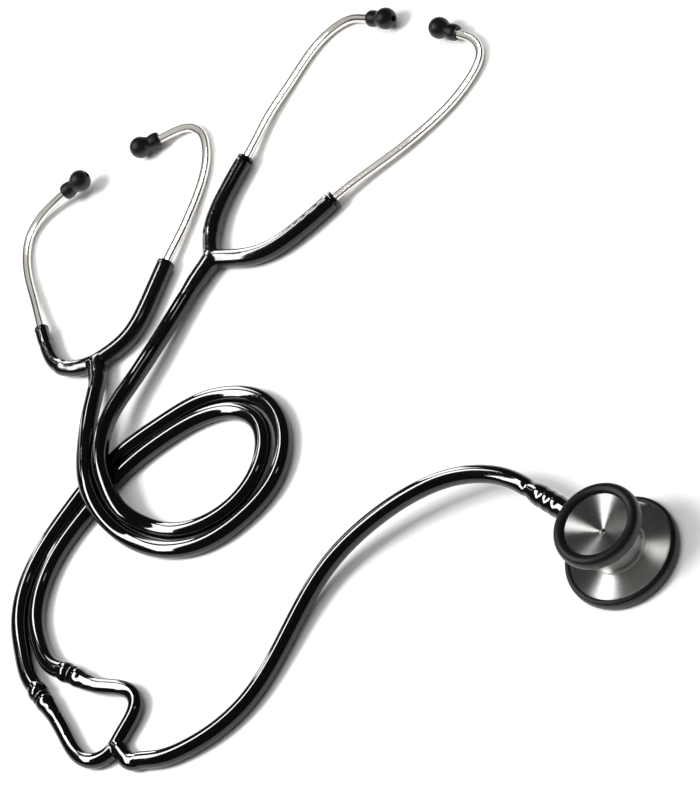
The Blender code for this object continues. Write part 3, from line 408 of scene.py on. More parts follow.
def meltTogether(name, meshes, grain, passes, material):
    # several overlapping closed meshes become one skin with softened inner corners
    work = bmesh.new()
    for mesh in meshes:
        work.from_mesh(mesh)
    joined = bpy.data.meshes.new(name)
    work.to_mesh(joined)
    work.free()
    obj = newObject(name, joined, None)
    remesh = obj.modifiers.new("Skin", "REMESH")
    remesh.mode = "VOXEL"
    remesh.voxel_size = grain
    remesh.use_smooth_shade = True
    soften = obj.modifiers.new("Soften", "SMOOTH")
    soften.factor = 0.5
    soften.iterations = passes
    bpy.context.view_layer.update()
    graph = bpy.context.evaluated_depsgraph_get()
    skin = bpy.data.meshes.new_from_object(obj.evaluated_get(graph))
    bpy.data.objects.remove(obj, do_unlink=True)
    skin.name = name
    skin.shade_smooth()
    return newObject(name, skin, material)


# cords
tubing = {
    "radius": 0.00385,
    "spacing": 0.0014,
    "sides": 9,
    "cuffEnd": 0.0464,       # along the stem
    "gap": 0.0003,
    "neck": 0.00352,         # radius where a tube is pinched at its very end
    "neckLength": 0.0020,
    "waves": (0.0137, 0.031),
    "waveShift": 1.3,
    "waveShare": 0.006,
}
stem = {
    "centre": (0.0, 0.0, 0.0176),
    "direction": (-math.sin(math.radians(10.8)), math.cos(math.radians(10.8)), 0.0),
}
chestRoute = [
    (-0.0119, 0.0576, 0.0180), (-0.0192, 0.0696, 0.0185), (-0.0284, 0.0786, 0.0185),
    (-0.0383, 0.0849, 0.0180), (-0.0493, 0.0903, 0.0165), (-0.0625, 0.0952, 0.0140),
    (-0.0769, 0.0987, 0.0110), (-0.0932, 0.0992, 0.0080), (-0.1137, 0.0938, 0.0055),
    (-0.1339, 0.0859, 0.0042), (-0.1527, 0.0808, 0.0039), (-0.1697, 0.0811, 0.0039),
    (-0.1845, 0.0853, 0.0039), (-0.1955, 0.0915, 0.0039), (-0.2028, 0.0986, 0.0039)]
studentRoute = [
    (-0.1134, 0.2666, 0.0075), (-0.1220, 0.2565, 0.0095), (-0.1305, 0.2450, 0.0115),
    (-0.1375, 0.2350, 0.0122), (-0.1435, 0.2225, 0.0123), (-0.1465, 0.2085, 0.0090),
    (-0.1455, 0.1950, 0.0050), (-0.1415, 0.1825, 0.0039), (-0.1345, 0.1710, 0.0039),
    (-0.1225, 0.1610, 0.0039), (-0.1030, 0.1560, 0.0039), (-0.0825, 0.1590, 0.0039),
    (-0.0680, 0.1715, 0.0039), (-0.0625, 0.1855, 0.0039), (-0.0635, 0.1995, 0.0039),
    (-0.0699, 0.2107, 0.0039), (-0.0816, 0.2210, 0.0039), (-0.0996, 0.2275, 0.0039),
    (-0.1208, 0.2319, 0.0039), (-0.1368, 0.2323, 0.0039), (-0.1545, 0.2291, 0.0039),
    (-0.1731, 0.2240, 0.0039), (-0.1914, 0.2148, 0.0039), (-0.2035, 0.2025, 0.0039),
    (-0.2119, 0.1859, 0.0041), (-0.2164, 0.1680, 0.0048)]
teacherRoute = [
    (-0.0565, 0.2710, 0.0060), (-0.0677, 0.2665, 0.0065), (-0.0854, 0.2590, 0.0080),
    (-0.0995, 0.2537, 0.0090), (-0.1147, 0.2466, 0.0112), (-0.1261, 0.2366, 0.0128),
    (-0.1323, 0.2280, 0.0134), (-0.1370, 0.2157, 0.0128), (-0.1391, 0.2020, 0.0100),
    (-0.1351, 0.1888, 0.0050), (-0.1290, 0.1785, 0.0039), (-0.1185, 0.1695, 0.0039),
    (-0.1035, 0.1650, 0.0039), (-0.0875, 0.1680, 0.0039), (-0.0755, 0.1780, 0.0039),
    (-0.0710, 0.1890, 0.0039), (-0.0725, 0.1994, 0.0039), (-0.0781, 0.2079, 0.0039),
    (-0.0897, 0.2157, 0.0039), (-0.1054, 0.2207, 0.0039), (-0.1212, 0.2233, 0.0039),
    (-0.1358, 0.2231, 0.0039), (-0.1507, 0.2209, 0.0039), (-0.1687, 0.2169, 0.0039),
    (-0.1855, 0.2086, 0.0039), (-0.1977, 0.1961, 0.0039), (-0.2038, 0.1813, 0.0041),
    (-0.2034, 0.1649, 0.0048)]
heartRoute = [
    (-0.2174, 0.1544, 0.0048), (-0.2180, 0.1461, 0.0046), (-0.2195, 0.1360, 0.0042),
    (-0.2207, 0.1270, 0.0039), (-0.2195, 0.1194, 0.0039), (-0.2150, 0.1140, 0.0039),
    (-0.2081, 0.1126, 0.0039), (-0.2019, 0.1148, 0.0039), (-0.1939, 0.1179, 0.0039),
    (-0.1884, 0.1219, 0.0039), (-0.1867, 0.1280, 0.0039), (-0.1889, 0.1343, 0.0042),
    (-0.1958, 0.1443, 0.0046), (-0.1984, 0.1513, 0.0048)]
heartStubRoute = [(-0.2068, 0.1150, 0.0039), (-0.2060, 0.1090, 0.0039)]


def onStem(distance):
    return Vector(stem["centre"]) + Vector(stem["direction"]) * distance


def makeCord(name, route, startWay, endWay, node, pinched):
    # one free tube; its end faces square up to what they meet
    start, end = Vector(route[0]), Vector(route[-1])
    radius = tubing["radius"]
    between = [Vector(p) for p in route[1:-1]]
    points = smoothRoute(
        [start, start + startWay * radius] + between + [end - endWay * radius, end], tubing["spacing"])
    along = distances(points)
    neck = tubing["neck"] if pinched else radius
    radii = []
    for d in along:
        # drawn tube is never dead even
        wave = math.sin(d / tubing["waves"][0]) * math.sin(d / tubing["waves"][1] + tubing["waveShift"])
        near = easedRadius(d, [(0.0, neck), (tubing["neckLength"], radius)])
        radii.append(near * (1.0 + tubing["waveShare"] * wave))
    cord = barCurve(name, points, radii, vinyl, tubing["sides"])
    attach(cord, "tubing")
    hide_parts(node)


makeCord("chestTubing", [tuple(onStem(tubing["cuffEnd"] + tubing["gap"]))] + chestRoute,
         Vector(stem["direction"]), towards(*chestRoute[-2:]), "chest_tube", True)
makeCord("studentTubing", studentRoute, towards(*studentRoute[:2]),
         towards(studentRoute[-1], heartRoute[0]), "student_tube", False)
makeCord("teacherTubing", teacherRoute, towards(*teacherRoute[:2]),
         towards(teacherRoute[-1], heartRoute[-1]), "teacher_tube", False)
print("cords laid")


# heart-shaped Y, its connectors and the tube ends on them
connector = {
    "cuffLength": 6.0, "cuffBulge": 4.55, "cuffBore": 3.0, "gap": 0.3, "sides": 48,
    "flange": 4.1, "flangeLength": 1.4, "flangeRounding": 0.5,
    "shank": 1.9, "barb": 2.5, "bore": 1.1, "reach": 8.5, "nearBarb": 2.1, "farBarb": 5.8, "barbStep": 0.4,
    # (radius below the bulge, share of the length, rounding)
    "cuffSwell": [(0.75, 1.0, 0.5), (0.1, 0.78, 1.2), (0.0, 0.5, 1.2), (0.25, 0.28, 1.0)],
}
heart = {
    "radius": 3.5, "mouth": 4.35, "stub": 3.85, "stubEase": 4.5, "grain": 0.00038, "passes": 22,
    "spacing": 0.0012, "stubSpacing": 0.001,
    "mouthSteps": [(0.0, 0.9), (0.9, 0.1), (2.4, 0.0)],       # (way in, radius below the mouth's)
    "armSteps": [(7.0, 0.3), (12.0, 0.0)],                    # (way in, radius above the arm's)
    "overlap": 2.2,          # how far the stub runs onto the tube from the chestpiece
    "fade": 2.86,            # over how much of its end it thins out
}


def makeConnector(side, tubeEnd, armStart):
    start = Vector(tubeEnd)
    direction = towards(start, armStart)
    place = axisPlace(start, direction)
    gap = connector["gap"]
    long = connector["cuffLength"]
    bulge = connector["cuffBulge"]
    radius = tubing["radius"] / mm
    cuffCorners = [(connector["cuffBore"], gap + long, 0.0)]
    cuffCorners += [(bulge - less, gap + long * share, soft) for less, share, soft in connector["cuffSwell"]]
    cuffCorners += [(radius, gap + long * 0.04, 0.5), (radius, -gap, 0.0), (connector["cuffBore"], -gap, 0.0)]
    cuff = lathePiece(side + "TubeEnd", cuffCorners, connector["sides"], vinyl, place)
    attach(cuff, "tubing")
    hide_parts(side + "_cuff")
    first = gap * 2.0 + long
    last = first + connector["flangeLength"]
    flange, soft = connector["flange"], connector["flangeRounding"]
    shank, barb, bore = connector["shank"], connector["barb"], connector["bore"]
    nearBarb, farBarb = gap + connector["nearBarb"], last + connector["farBarb"]
    step, tip = connector["barbStep"], last + connector["reach"]
    corners = [
        (bore, tip, 0.0), (shank, tip, 0.1), (barb, farBarb, 0.2), (shank, farBarb - step, 0.1),
        (shank, last, 0.0), (flange, last, soft), (flange, first, soft), (shank, first, 0.0),
        (shank, nearBarb + step, 0.1), (barb, nearBarb, 0.2), (shank, gap * 2.0, 0.1), (bore, gap * 2.0, 0.0)]
    piece = lathePiece(side + "Connector", corners, connector["sides"], vinyl, place, closed=True)
    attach(piece, "tubing")
    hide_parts(side + "_connector")
    return start + direction * (last + gap) * mm


def makeHeart():
    leftMouth = makeConnector("student", studentRoute[-1], heartRoute[0])
    rightMouth = makeConnector("teacher", teacherRoute[-1], heartRoute[-1])
    line = smoothRoute([leftMouth] + heartRoute[1:-1] + [rightMouth], heart["spacing"])
    along = distances(line)
    mouth, radius = heart["mouth"] * mm, heart["radius"] * mm
    stations = [(d * mm, mouth - less * mm) for d, less in heart["mouthSteps"]]
    stations += [(d * mm, radius + more * mm) for d, more in heart["armSteps"]]
    radii = [easedRadius(min(d, along[-1] - d), stations) for d in along]
    bow = curveToMesh(barCurve("bow", line, radii, None))
    chestEnd = Vector(chestRoute[-1])
    stubWay = towards(chestRoute[-2], chestRoute[-1])
    stubTail = [chestEnd + stubWay * tubing["radius"], chestEnd - stubWay * heart["overlap"] * mm]
    stubLine = smoothRoute(heartStubRoute + stubTail, heart["stubSpacing"])
    stubAlong = distances(stubLine)
    stubEnd = stubAlong[-1]
    stubRadius = heart["stub"] * mm
    stubStations = [(0.0, radius * 0.8), (heart["stubEase"] * mm, stubRadius),
                    (stubEnd - heart["fade"] * mm, stubRadius), (stubEnd, tubing["neck"])]
    stubRadii = [easedRadius(d, stubStations) for d in stubAlong]
    stub = curveToMesh(barCurve("stub", stubLine, stubRadii, None))
    piece = meltTogether("heartY", [bow, stub], heart["grain"], heart["passes"], vinyl)
    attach(piece, "tubing")
    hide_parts("heart_y")


makeHeart()
print("heart-shaped Y made")


# chestpiece
# profiles are (radius, height, rounding) in millimetres; along the stem, height is the way outwards
chestLook = {
    "sides": 192, "ringSides": 160, "discSides": 128, "boreSides": 32, "cuffSides": 56, "nutSides": 48,
    "body": [
        (1.25, 18.7, 0.0), (1.25, 21.45, 0.2), (1.55, 21.7, 0.15), (7.0, 24.2, 3.0),       # bell cone
        (13.95, 27.35, 0.3), (14.4, 27.6, 0.2), (16.9, 27.6, 0.2), (16.9, 24.3, 0.3),      # bell lip
        (15.75, 24.3, 0.2), (14.9, 23.3, 1.0), (12.1, 18.4, 2.5), (10.62, 16.0, 1.8),      # back of the bell
        (10.3, 14.2, 1.5), (10.3, 9.4, 0.2), (10.5, 9.15, 0.1), (10.9, 8.8, 0.1),          # waist
        (11.75, 8.8, 0.35), (12.2, 8.3, 0.3), (12.2, 7.45, 0.15), (12.5, 7.25, 0.1),       # collar
        (21.6, 5.30, 0.3), (22.0, 5.33, 0.1), (22.4, 5.30, 0.1), (22.4, 5.0, 0.0),         # plate
        (23.4, 5.0, 0.1), (23.4, 1.7, 0.1), (20.8, 1.7, 0.1), (20.2, 2.2, 0.2),            # rim seat
        (2.2, 4.2, 0.3), (1.25, 4.6, 0.0)],                                                # chamber
    # outline of a near-black lining and cap in the bell's bore: painted shade for the dark hole
    "throatShade": [(1.25, 21.3, 0.0), (1.24, 12.0, 0.0), (0.0, 11.9, 0.0)],
    "bellRing": [
        (13.95, 27.3, 0.0), (13.95, 28.1, 0.5), (14.7, 29.0, 0.8), (16.5, 29.50, 1.6),
        (18.3, 28.75, 1.3), (19.0, 26.9, 1.3), (19.0, 25.0, 1.2), (18.3, 23.5, 1.0),
        (16.9, 23.1, 0.6), (16.0, 23.25, 0.2), (16.0, 24.0, 0.0)],
    "rim": [
        (22.3, 4.9, 0.0), (22.3, 5.45, 0.2), (23.2, 5.88, 0.6), (24.5, 5.5, 0.8), (25.0, 4.3, 0.9),
        (25.0, 2.0, 1.0), (24.4, 0.6, 0.7), (23.5, 0.32, 0.4), (22.2, 0.3, 0.1), (22.2, 0.7, 0.0)],
    "disc": [
        (0.0, 0.5, 0.0), (21.2, 0.5, 0.1), (21.4, 1.4, 0.1), (23.4, 1.4, 0.1), (23.4, 1.0, 0.1),
        (21.9, 1.0, 0.1), (21.9, 0.35, 0.2), (21.4, 0.0, 0.2), (19.0, 0.0, 0.1), (18.9, 0.05, 0.05),
        (18.6, 0.05, 0.05), (18.5, 0.0, 0.1), (6.0, 0.0, 0.0), (0.0, 0.0, 0.0)],
    "cuffEnd": [(3.5, 45.8, 0.5), (3.75, 44.5, 0.9)],
    "cuffSwells": [
        (4.55, 41.3), (4.72, 38.4), (4.50, 36.6), (4.78, 33.8), (4.52, 31.9), (4.80, 29.0), (4.55, 26.8)],
    "cuffMouth": [
        (4.62, 23.0, 1.5), (4.45, 19.0, 1.5), (4.3, 15.6, 0.4), (4.1, 15.0, 0.2), (3.1, 15.0, 0.1),
        (3.1, 18.0, 0.0)],
    "swellRounding": 1.3,
    "nut": [
        (3.05, 12.6, 0.0), (4.2, 12.6, 0.3), (4.7, 12.0, 0.3), (4.7, 8.5, 0.3), (4.4, 8.0, 0.1),
        (3.05, 8.0, 0.0)],
}


def makeChestBody():
    body = lathePiece("chestBody", chestLook["body"], chestLook["sides"], headSteel, steps=5)
    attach(body, "chest_head")
    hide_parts("chest_body")
    # near-black rubber lining and cap in the bore: painted shade standing for the dark hole, not a real part
    throatShade = lathePiece("soundBore", chestLook["throatShade"], chestLook["boreSides"], charcoalRubber)
    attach(throatShade, "chest_head")


def makeRings():
    sides = chestLook["ringSides"]
    bellRing = lathePiece("bellRing", chestLook["bellRing"], sides, charcoalRubber, steps=6)
    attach(bellRing, "chest_head")
    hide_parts("bell_ring")
    rim = lathePiece("diaphragmRim", chestLook["rim"], sides, charcoalRubber, steps=6)
    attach(rim, "chest_head")
    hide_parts("diaphragm_rim")


def makeDiaphragm():
    disc = lathePiece("diaphragmDisc", chestLook["disc"], chestLook["discSides"], sheetPlastic)
    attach(disc, "chest_head")
    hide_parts("diaphragm")


def makeChestCuff():
    # tube end stretched over the stem's barbs, which show through as three swells
    place = axisPlace(stem["centre"], stem["direction"])
    end = (tubing["cuffEnd"] + tubing["gap"]) / mm
    corners = [(3.0, end, 0.0), (tubing["neck"] / mm, end, 0.0)] + chestLook["cuffEnd"]
    corners += [(radius, along, chestLook["swellRounding"]) for radius, along in chestLook["cuffSwells"]]
    corners += chestLook["cuffMouth"]
    cuff = lathePiece("chestTubeEnd", corners, chestLook["cuffSides"], vinyl, place, steps=6)
    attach(cuff, "tubing")
    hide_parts("chest_cuff")
    nut = lathePiece("stemNut", chestLook["nut"], chestLook["nutSides"], tubeSteel, place)
    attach(nut, "chest_head")
    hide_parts("stem_nut")


makeChestBody()
makeRings()
makeDiaphragm()
makeChestCuff()
print("chestpiece made")


# headsets
# places are in metres; thickness is (way along the arm, radius) in millimetres
headsets = {
    "teacher": {
        "tubeEnd": teacherRoute[0], "tubeNext": teacherRoute[1], "fork": (-0.0365, 0.2775, 0.0052),
        "left": {
            "arm": [(-0.0312, 0.2865, 0.0050), (-0.0245, 0.2935, 0.0050), (-0.0165, 0.2988, 0.0050),
                    (-0.0090, 0.3025, 0.0050), (0.0055, 0.3085, 0.0050)],
            "thickness": [(0.0, 4.2), (9.0, 4.1), (13.0, 4.15), (14.2, 4.45), (22.0, 4.25), (36.0, 4.0),
                          (60.0, 3.9)],
            "tube": [(0.0155, 0.3140, 0.0040), (0.0240, 0.3185, 0.0035), (0.0440, 0.3260, 0.0025),
                     (0.0610, 0.3310, 0.0025), (0.0750, 0.3310, 0.0025), (0.0820, 0.3270, 0.0035),
                     (0.0870, 0.3185, 0.0050), (0.0925, 0.3090, 0.0065)],
            "cadRadius": 0.0040,
        },
        "right": {
            "arm": [(-0.0300, 0.2695, 0.0050), (-0.0235, 0.2625, 0.0050), (-0.0145, 0.2570, 0.0050),
                    (0.0000, 0.2538, 0.0050), (0.0205, 0.2525, 0.0050)],
            "thickness": [(0.0, 4.2), (9.0, 4.1), (20.0, 4.3), (60.0, 4.25)],
            "tube": [(0.0400, 0.2505, 0.0040), (0.0560, 0.2480, 0.0035), (0.0700, 0.2470, 0.0030),
                     (0.0850, 0.2475, 0.0025), (0.0975, 0.2500, 0.0025), (0.1050, 0.2530, 0.0025),
                     (0.1100, 0.2575, 0.0025), (0.1120, 0.2645, 0.0035), (0.1100, 0.2705, 0.0048),
                     (0.1055, 0.2815, 0.0065)],
            "cadRadius": 0.0043,
        },
    },
    "student": {
        "tubeEnd": studentRoute[0], "tubeNext": studentRoute[1], "fork": (-0.1045, 0.2810, 0.0052),
        "left": {
            "arm": [(-0.1125, 0.2870, 0.0050), (-0.1165, 0.2925, 0.0050), (-0.1182, 0.2990, 0.0051),
                    (-0.1170, 0.3070, 0.0054), (-0.1125, 0.3200, 0.0060)],
            "thickness": [(0.0, 4.2), (8.0, 3.9), (15.0, 3.7), (19.0, 3.9), (21.5, 3.45), (33.5, 3.3),
                          (35.5, 3.05), (37.5, 3.3), (60.0, 3.2)],
            "tube": [(-0.1065, 0.3375, 0.0045), (-0.1010, 0.3530, 0.0035), (-0.0970, 0.3610, 0.0030),
                     (-0.0885, 0.3705, 0.0030), (-0.0790, 0.3735, 0.0040), (-0.0695, 0.3720, 0.0060),
                     (-0.0645, 0.3702, 0.0075), (-0.0550, 0.3670, 0.0095)],
            "cadRadius": 0.0033,
        },
        "right": {
            "arm": [(-0.0958, 0.2794, 0.0050), (-0.0860, 0.2790, 0.0050), (-0.0750, 0.2830, 0.0050),
                    (-0.0655, 0.2884, 0.0050), (-0.0520, 0.2963, 0.0050)],
            "thickness": [(0.0, 4.2), (9.0, 4.0), (22.0, 4.15), (60.0, 4.0)],
            "tube": [(-0.0395, 0.3035, 0.0040), (-0.0305, 0.3090, 0.0035), (-0.0175, 0.3185, 0.0025),
                     (-0.0080, 0.3275, 0.0025), (-0.0030, 0.3355, 0.0025), (-0.0010, 0.3425, 0.0025),
                     (-0.0028, 0.3490, 0.0030), (-0.0085, 0.3530, 0.0038), (-0.0150, 0.3550, 0.0046),
                     (-0.0250, 0.3585, 0.0065)],
            "cadRadius": 0.0041,
        },
    },
}
yokeLook = {
    "grain": 0.00042, "passes": 26, "lip": 1.4, "bore": 2.3,
    "overlap": 2.2, "fade": 2.86, "tailLead": 5.0, "tailMiddle": 0.6, "tailRadii": (4.4, 4.7),
    "bendBefore": 0.003, "bendAfter": 0.007, "spacing": 0.001,
    "tuck": 0.4,             # how far the skin runs into the collar at the arm's end
    "collarDepth": 4.0, "collarSides": 48, "boreEase": 0.35, "lipRounding": 0.5,
}
eartipLook = {
    "ball": 4.9, "ballCentre": 9.7, "ballSteps": 14, "ballEnd": 126.0, "sleeve": 3.8, "groove": 3.15,
    "hole": 1.25, "grip": 8.5, "stop": 8.8, "socket": 2.15, "sides": 56,
}
earTubeLook = {"radius": 0.0020, "socket": 0.0160, "gap": 0.0003, "spacing": 0.0011}


def makeYoke(name, spec):
    # tail, fork and both arms as one moulding, then parted down the middle into two halves
    fork = Vector(spec["fork"])
    tubeEnd = Vector(spec["tubeEnd"])
    tailWay = towards(spec["tubeNext"], spec["tubeEnd"])
    tailStart = tubeEnd - tailWay * yokeLook["overlap"] * mm
    tailLead = tubeEnd + tailWay * yokeLook["tailLead"] * mm
    tailLine = smoothRoute([tailStart, tailLead, fork], yokeLook["spacing"])
    tailAlong = distances(tailLine)
    tailEnd = tailAlong[-1]
    middleRadius, forkRadius = [r * mm for r in yokeLook["tailRadii"]]
    stations = [(0.0, tubing["neck"]), (yokeLook["fade"] * mm, tubing["radius"]),
                (tailEnd * yokeLook["tailMiddle"], middleRadius), (tailEnd, forkRadius)]
    tailRadii = [easedRadius(d, stations) for d in tailAlong]
    tail = curveToMesh(barCurve("tail", tailLine, tailRadii, None))
    ends = {}
    bars = [tail]
    for side in ("left", "right"):
        arm = [Vector(p) for p in spec[side]["arm"]]
        line = smoothRoute([fork] + arm, yokeLook["spacing"])
        along = distances(line)
        endWay = (line[-1] - line[-2]).normalized()
        stop = along[-1] - (yokeLook["lip"] - yokeLook["tuck"]) * mm
        kept = [p for p, d in zip(line, along) if d < stop]
        thickness = [(d * mm, r * mm) for d, r in spec[side]["thickness"]]
        radii = [easedRadius(d, thickness) for d in along[:len(kept)]]
        bars.append(curveToMesh(barCurve("arm", kept, radii, None)))
        ends[side] = (line[-1], endWay, radii[-1])
    whole = meltTogether(name + "Yoke", bars, yokeLook["grain"], yokeLook["passes"], None)
    tree = KDTree(len(whole.data.vertices))
    for i, vertex in enumerate(whole.data.vertices):
        tree.insert(vertex.co, i)
    tree.balance()
    normals = [vertex.normal.copy() for vertex in whole.data.vertices]
    tailFlat = Vector((fork.x - tubeEnd.x, fork.y - tubeEnd.y, 0.0)).normalized()
    leftWay = Vector((-tailFlat.y, tailFlat.x, 0.0))
    for side, keepUp in (("left", True), ("right", False)):
        work = bmesh.new()
        work.from_mesh(whole.data)
        geometry = list(work.verts) + list(work.edges) + list(work.faces)
        bmesh.ops.bisect_plane(work, geom=geometry, plane_co=fork, plane_no=leftWay,
                               clear_inner=keepUp, clear_outer=not keepUp)
        half = bpy.data.meshes.new(name + "Yoke" + side.capitalize())
        work.to_mesh(half)
        work.free()
        half.shade_smooth()
        kept = [normals[tree.find(vertex.co)[1]] for vertex in half.vertices]
        half.normals_split_custom_set_from_vertices(kept)
        piece = newObject(name + "Yoke" + side.capitalize(), half, armVinyl)
        body = name + "_arm_" + side
        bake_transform(piece)
        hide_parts(body, *([name + "_yoke"] if side == "left" else []))
        end, endWay, radius = ends[side]
        r = radius / mm
        lip, bore, ease, soft = (yokeLook[k] for k in ("lip", "bore", "boreEase", "lipRounding"))
        corners = [
            (r - 0.5, -lip - 0.3, 0.0), (r + 0.01, -lip, 0.0), (r, -0.6, soft), (r - 0.55, 0.0, soft),
            (bore + ease, 0.0, 0.2), (bore, -ease, 0.0), (bore, -lip - yokeLook["collarDepth"], 0.0)]
        collar = lathePiece(name + "ArmEnd" + side.capitalize(), corners, yokeLook["collarSides"],
                            armVinyl, axisPlace(end, endWay))
        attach(collar, body)
    bpy.data.objects.remove(whole, do_unlink=True)


def makeEarTube(name, side, spec):
    arm = smoothRoute(spec["arm"], spec["cadRadius"])
    socketWay = (arm[-1] - arm[-2]).normalized()
    start = arm[-1] - socketWay * (earTubeLook["socket"] - earTubeLook["gap"])
    ball = Vector(spec["tube"][-1])
    tipWay = (ball - Vector(spec["tube"][-2])).normalized()
    centre = eartipLook["ballCentre"] * mm
    tipEnd = ball - tipWay * (centre - eartipLook["grip"] * mm)
    tipStart = ball - tipWay * centre
    bend = [start, arm[-1] - socketWay * earTubeLook["socket"] * 0.5, arm[-1]]
    bend += [Vector(p) for p in spec["tube"][:-2]]
    bend += [tipStart, (tipStart + tipEnd) * 0.5, tipEnd]
    line = smoothRoute(bend, earTubeLook["spacing"])
    radii = [earTubeLook["radius"]] * len(line)
    piece = barCurve(name + "EarTube" + side.capitalize(), line, radii, tubeSteel)
    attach(piece, name + "_ear_" + side)
    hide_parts(name + "_ear_tube_" + side)
    return tipStart, tipWay


def makeEartip(name, side, tipStart, tipWay):
    ball, centre = eartipLook["ball"], eartipLook["ballCentre"]
    hole, sleeve, groove = eartipLook["hole"], eartipLook["sleeve"], eartipLook["groove"]
    stop, socket, steps = eartipLook["stop"], eartipLook["socket"], eartipLook["ballSteps"]
    corners = [(0.0, stop, 0.0), (hole, stop, 0.0)]
    mouth = math.degrees(math.asin((hole + 0.25) / ball))
    corners.append((hole, centre + ball * math.cos(math.radians(mouth)) - 0.45, 0.2))
    for k in range(steps + 1):
        angle = math.radians(mouth + (eartipLook["ballEnd"] - mouth) * k / steps)
        corners.append((ball * math.sin(angle), centre + ball * math.cos(angle), 0.15))
    corners += [
        (groove, centre - ball * 0.90, 0.5), (sleeve - 0.25, centre - ball * 1.12, 0.5),
        (sleeve, centre - ball * 1.45, 1.0), (sleeve + 0.05, 1.9, 1.0), (sleeve - 0.3, 0.35, 0.5),
        (sleeve - 0.8, 0.0, 0.3), (socket + 0.1, 0.0, 0.2), (socket, 2.0, 0.0), (socket, stop, 0.0)]
    piece = lathePiece(name + "Eartip" + side.capitalize(), corners, eartipLook["sides"],
                       charcoalRubber, axisPlace(tipStart, tipWay), steps=3)
    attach(piece, name + "_tip_" + side)
    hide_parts(name + "_eartip_" + side)


for headsetName, headsetSpec in headsets.items():
    makeYoke(headsetName, headsetSpec)
    for armSide in ("left", "right"):
        tipStart, tipWay = makeEarTube(headsetName, armSide, headsetSpec[armSide])
        makeEartip(headsetName, armSide, tipStart, tipWay)
print("headsets made")


# CAD nodes that stay as they are, inside the others
keptNodes = {
    "chest_stem": tubeSteel, "detent_ball": tubeSteel, "detent_spring": springSteel,
    "student_spring": springSteel, "teacher_spring": springSteel,
}
for nodeName, nodeMaterial in keptNodes.items():
    node = bpy.data.objects[nodeName]
    node.data.materials.clear()
    node.data.materials.append(nodeMaterial)
print("inner pieces finished")


# floor and lights
vinylKinds = ("blackVinyl", "armVinyl")
rubberKinds = ("charcoalRubber", "diaphragmSheet")
headKinds = ("turnedSteel", "springSteel")
studio = {
    "floorSize": 9.0,
    "floorTone": 0.86,
    "ambient": 0.05,
    "middle": (-0.05, 0.19, 0.0),
    # lean and turn place a light, in degrees off the vertical and round it; roll turns its width
    "lights": {
        "keyLight": {"lean": 33.2, "turn": 163.6, "roll": 0.0, "reach": 1.6, "size": (0.62, 0.62),
                     "radiance": 21.5, "diffuse": True},
        "overheadFill": {"lean": 0.0, "turn": 0.0, "roll": 0.0, "reach": 2.2, "size": (3.5, 3.5),
                         "radiance": 1.56, "diffuse": True},
        "steelGlint": {"lean": 33.2, "turn": 163.6, "roll": 0.0, "reach": 1.6, "size": (0.50, 0.50),
                       "radiance": 24.0, "on": headKinds},
        "steelBox": {"lean": 30.0, "turn": -12.5, "roll": 0.0, "reach": 1.2, "size": (0.42, 0.42),
                     "radiance": 4.0, "on": headKinds},
        "tubeBox": {"lean": 30.0, "turn": -12.5, "roll": 0.0, "reach": 1.2, "size": (0.55, 1.3),
                    "radiance": 34.0, "on": ("polishedSteel",)},
        "tubeAir": {"lean": 0.0, "turn": 0.0, "roll": 0.0, "reach": 1.0, "size": (3.6, 3.6),
                    "radiance": 0.55, "on": ("polishedSteel",)},
        "rubberBox": {"lean": 38.0, "turn": 138.0, "roll": 0.0, "reach": 1.2, "size": (0.9, 0.9),
                      "radiance": 3.0, "on": rubberKinds},
        "vinylBox": {"lean": 37.0, "turn": 138.0, "roll": 69.0, "reach": 1.2, "size": (1.6, 0.30),
                     "radiance": 26.0, "on": vinylKinds},
        "backBox": {"lean": 69.0, "turn": 77.5, "roll": 90.0, "reach": 1.4, "size": (0.34, 0.85),
                    "radiance": 16.0, "on": vinylKinds},
        "backStrip": {"lean": 68.0, "turn": 105.0, "roll": 90.0, "reach": 1.4, "size": (0.05, 1.0),
                      "radiance": 11.0, "on": vinylKinds},
        "dashBox": {"lean": 27.0, "turn": -22.0, "roll": 60.0, "reach": 1.2, "size": (0.09, 0.24),
                    "radiance": 6.0, "on": vinylKinds},
    },
}


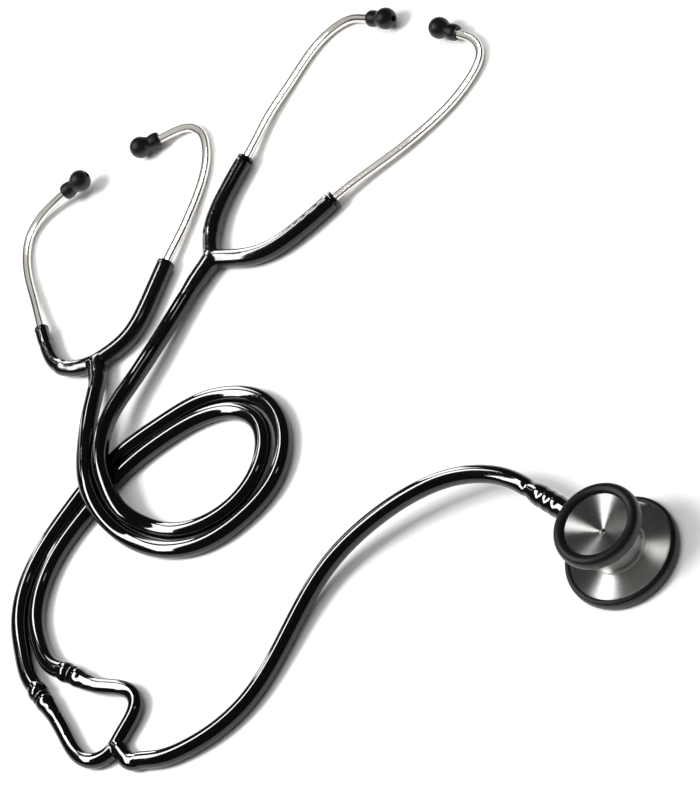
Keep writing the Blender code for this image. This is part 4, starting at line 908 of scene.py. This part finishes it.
def makeFloor():
    mesh = bpy.data.meshes.new("tableTop")
    half = studio["floorSize"] / 2.0
    corners = [(-half, -half, 0.0), (half, -half, 0.0), (half, half, 0.0), (-half, half, 0.0)]
    mesh.from_pydata(corners, [], [(0, 1, 2, 3)])
    material, tree, shader = newMaterial("paleTable")
    tone = studio["floorTone"]
    grain = noiseAt(tree, objectPoint(tree), 30.0)
    paler = tone + 0.01
    pale = ramp(tree, grain, ((0.3, (tone, tone, tone)), (0.7, (paler, paler, paler))))
    tree.links.new(pale, shader.inputs["Base Color"])
    shader.inputs["Roughness"].default_value = 0.8
    shader.inputs["Specular IOR Level"].default_value = 0.1
    floor = newObject("tableTop", mesh, material)
    floor.location = (-0.05, 0.18, -0.0002)


def areaLight(name, spec):
    # one rectangular softbox; with an "on" list it is a highlight that only those materials show
    turn = Matrix.Rotation(math.radians(spec["turn"]), 4, "Z")
    lean = Matrix.Rotation(math.radians(spec["lean"]), 4, "Y")
    roll = Matrix.Rotation(math.radians(spec["roll"]), 4, "Z")
    reach = Matrix.Translation((0.0, 0.0, spec["reach"]))
    width, height = spec["size"]
    data = bpy.data.lights.new(name, "AREA")
    data.shape = "RECTANGLE"
    data.size, data.size_y = width, height
    data.energy = spec["radiance"] * math.pi * width * height
    light = bpy.data.objects.new(name, data)
    scene.collection.objects.link(light)
    light.matrix_world = Matrix.Translation(studio["middle"]) @ turn @ lean @ reach @ roll
    light.visible_camera = False
    light.visible_diffuse = "diffuse" in spec
    light.visible_glossy = "on" in spec
    if "on" in spec:
        lit = bpy.data.collections.new(name + "Lit")
        for obj in bpy.data.objects:
            if obj.type in ("MESH", "CURVE"):
                if any(m and m.name in spec["on"] for m in obj.data.materials):
                    lit.objects.link(obj)
        light.light_linking.receiver_collection = lit


def makeLights():
    world = bpy.data.worlds.new("studioAir")
    world.use_nodes = True
    background = world.node_tree.nodes["Background"]
    background.inputs["Color"].default_value = (1.0, 1.0, 1.0, 1.0)
    background.inputs["Strength"].default_value = studio["ambient"]
    scene.world = world
    for name, spec in studio["lights"].items():
        areaLight(name, spec)


makeFloor()
makeLights()
print("studio lit")
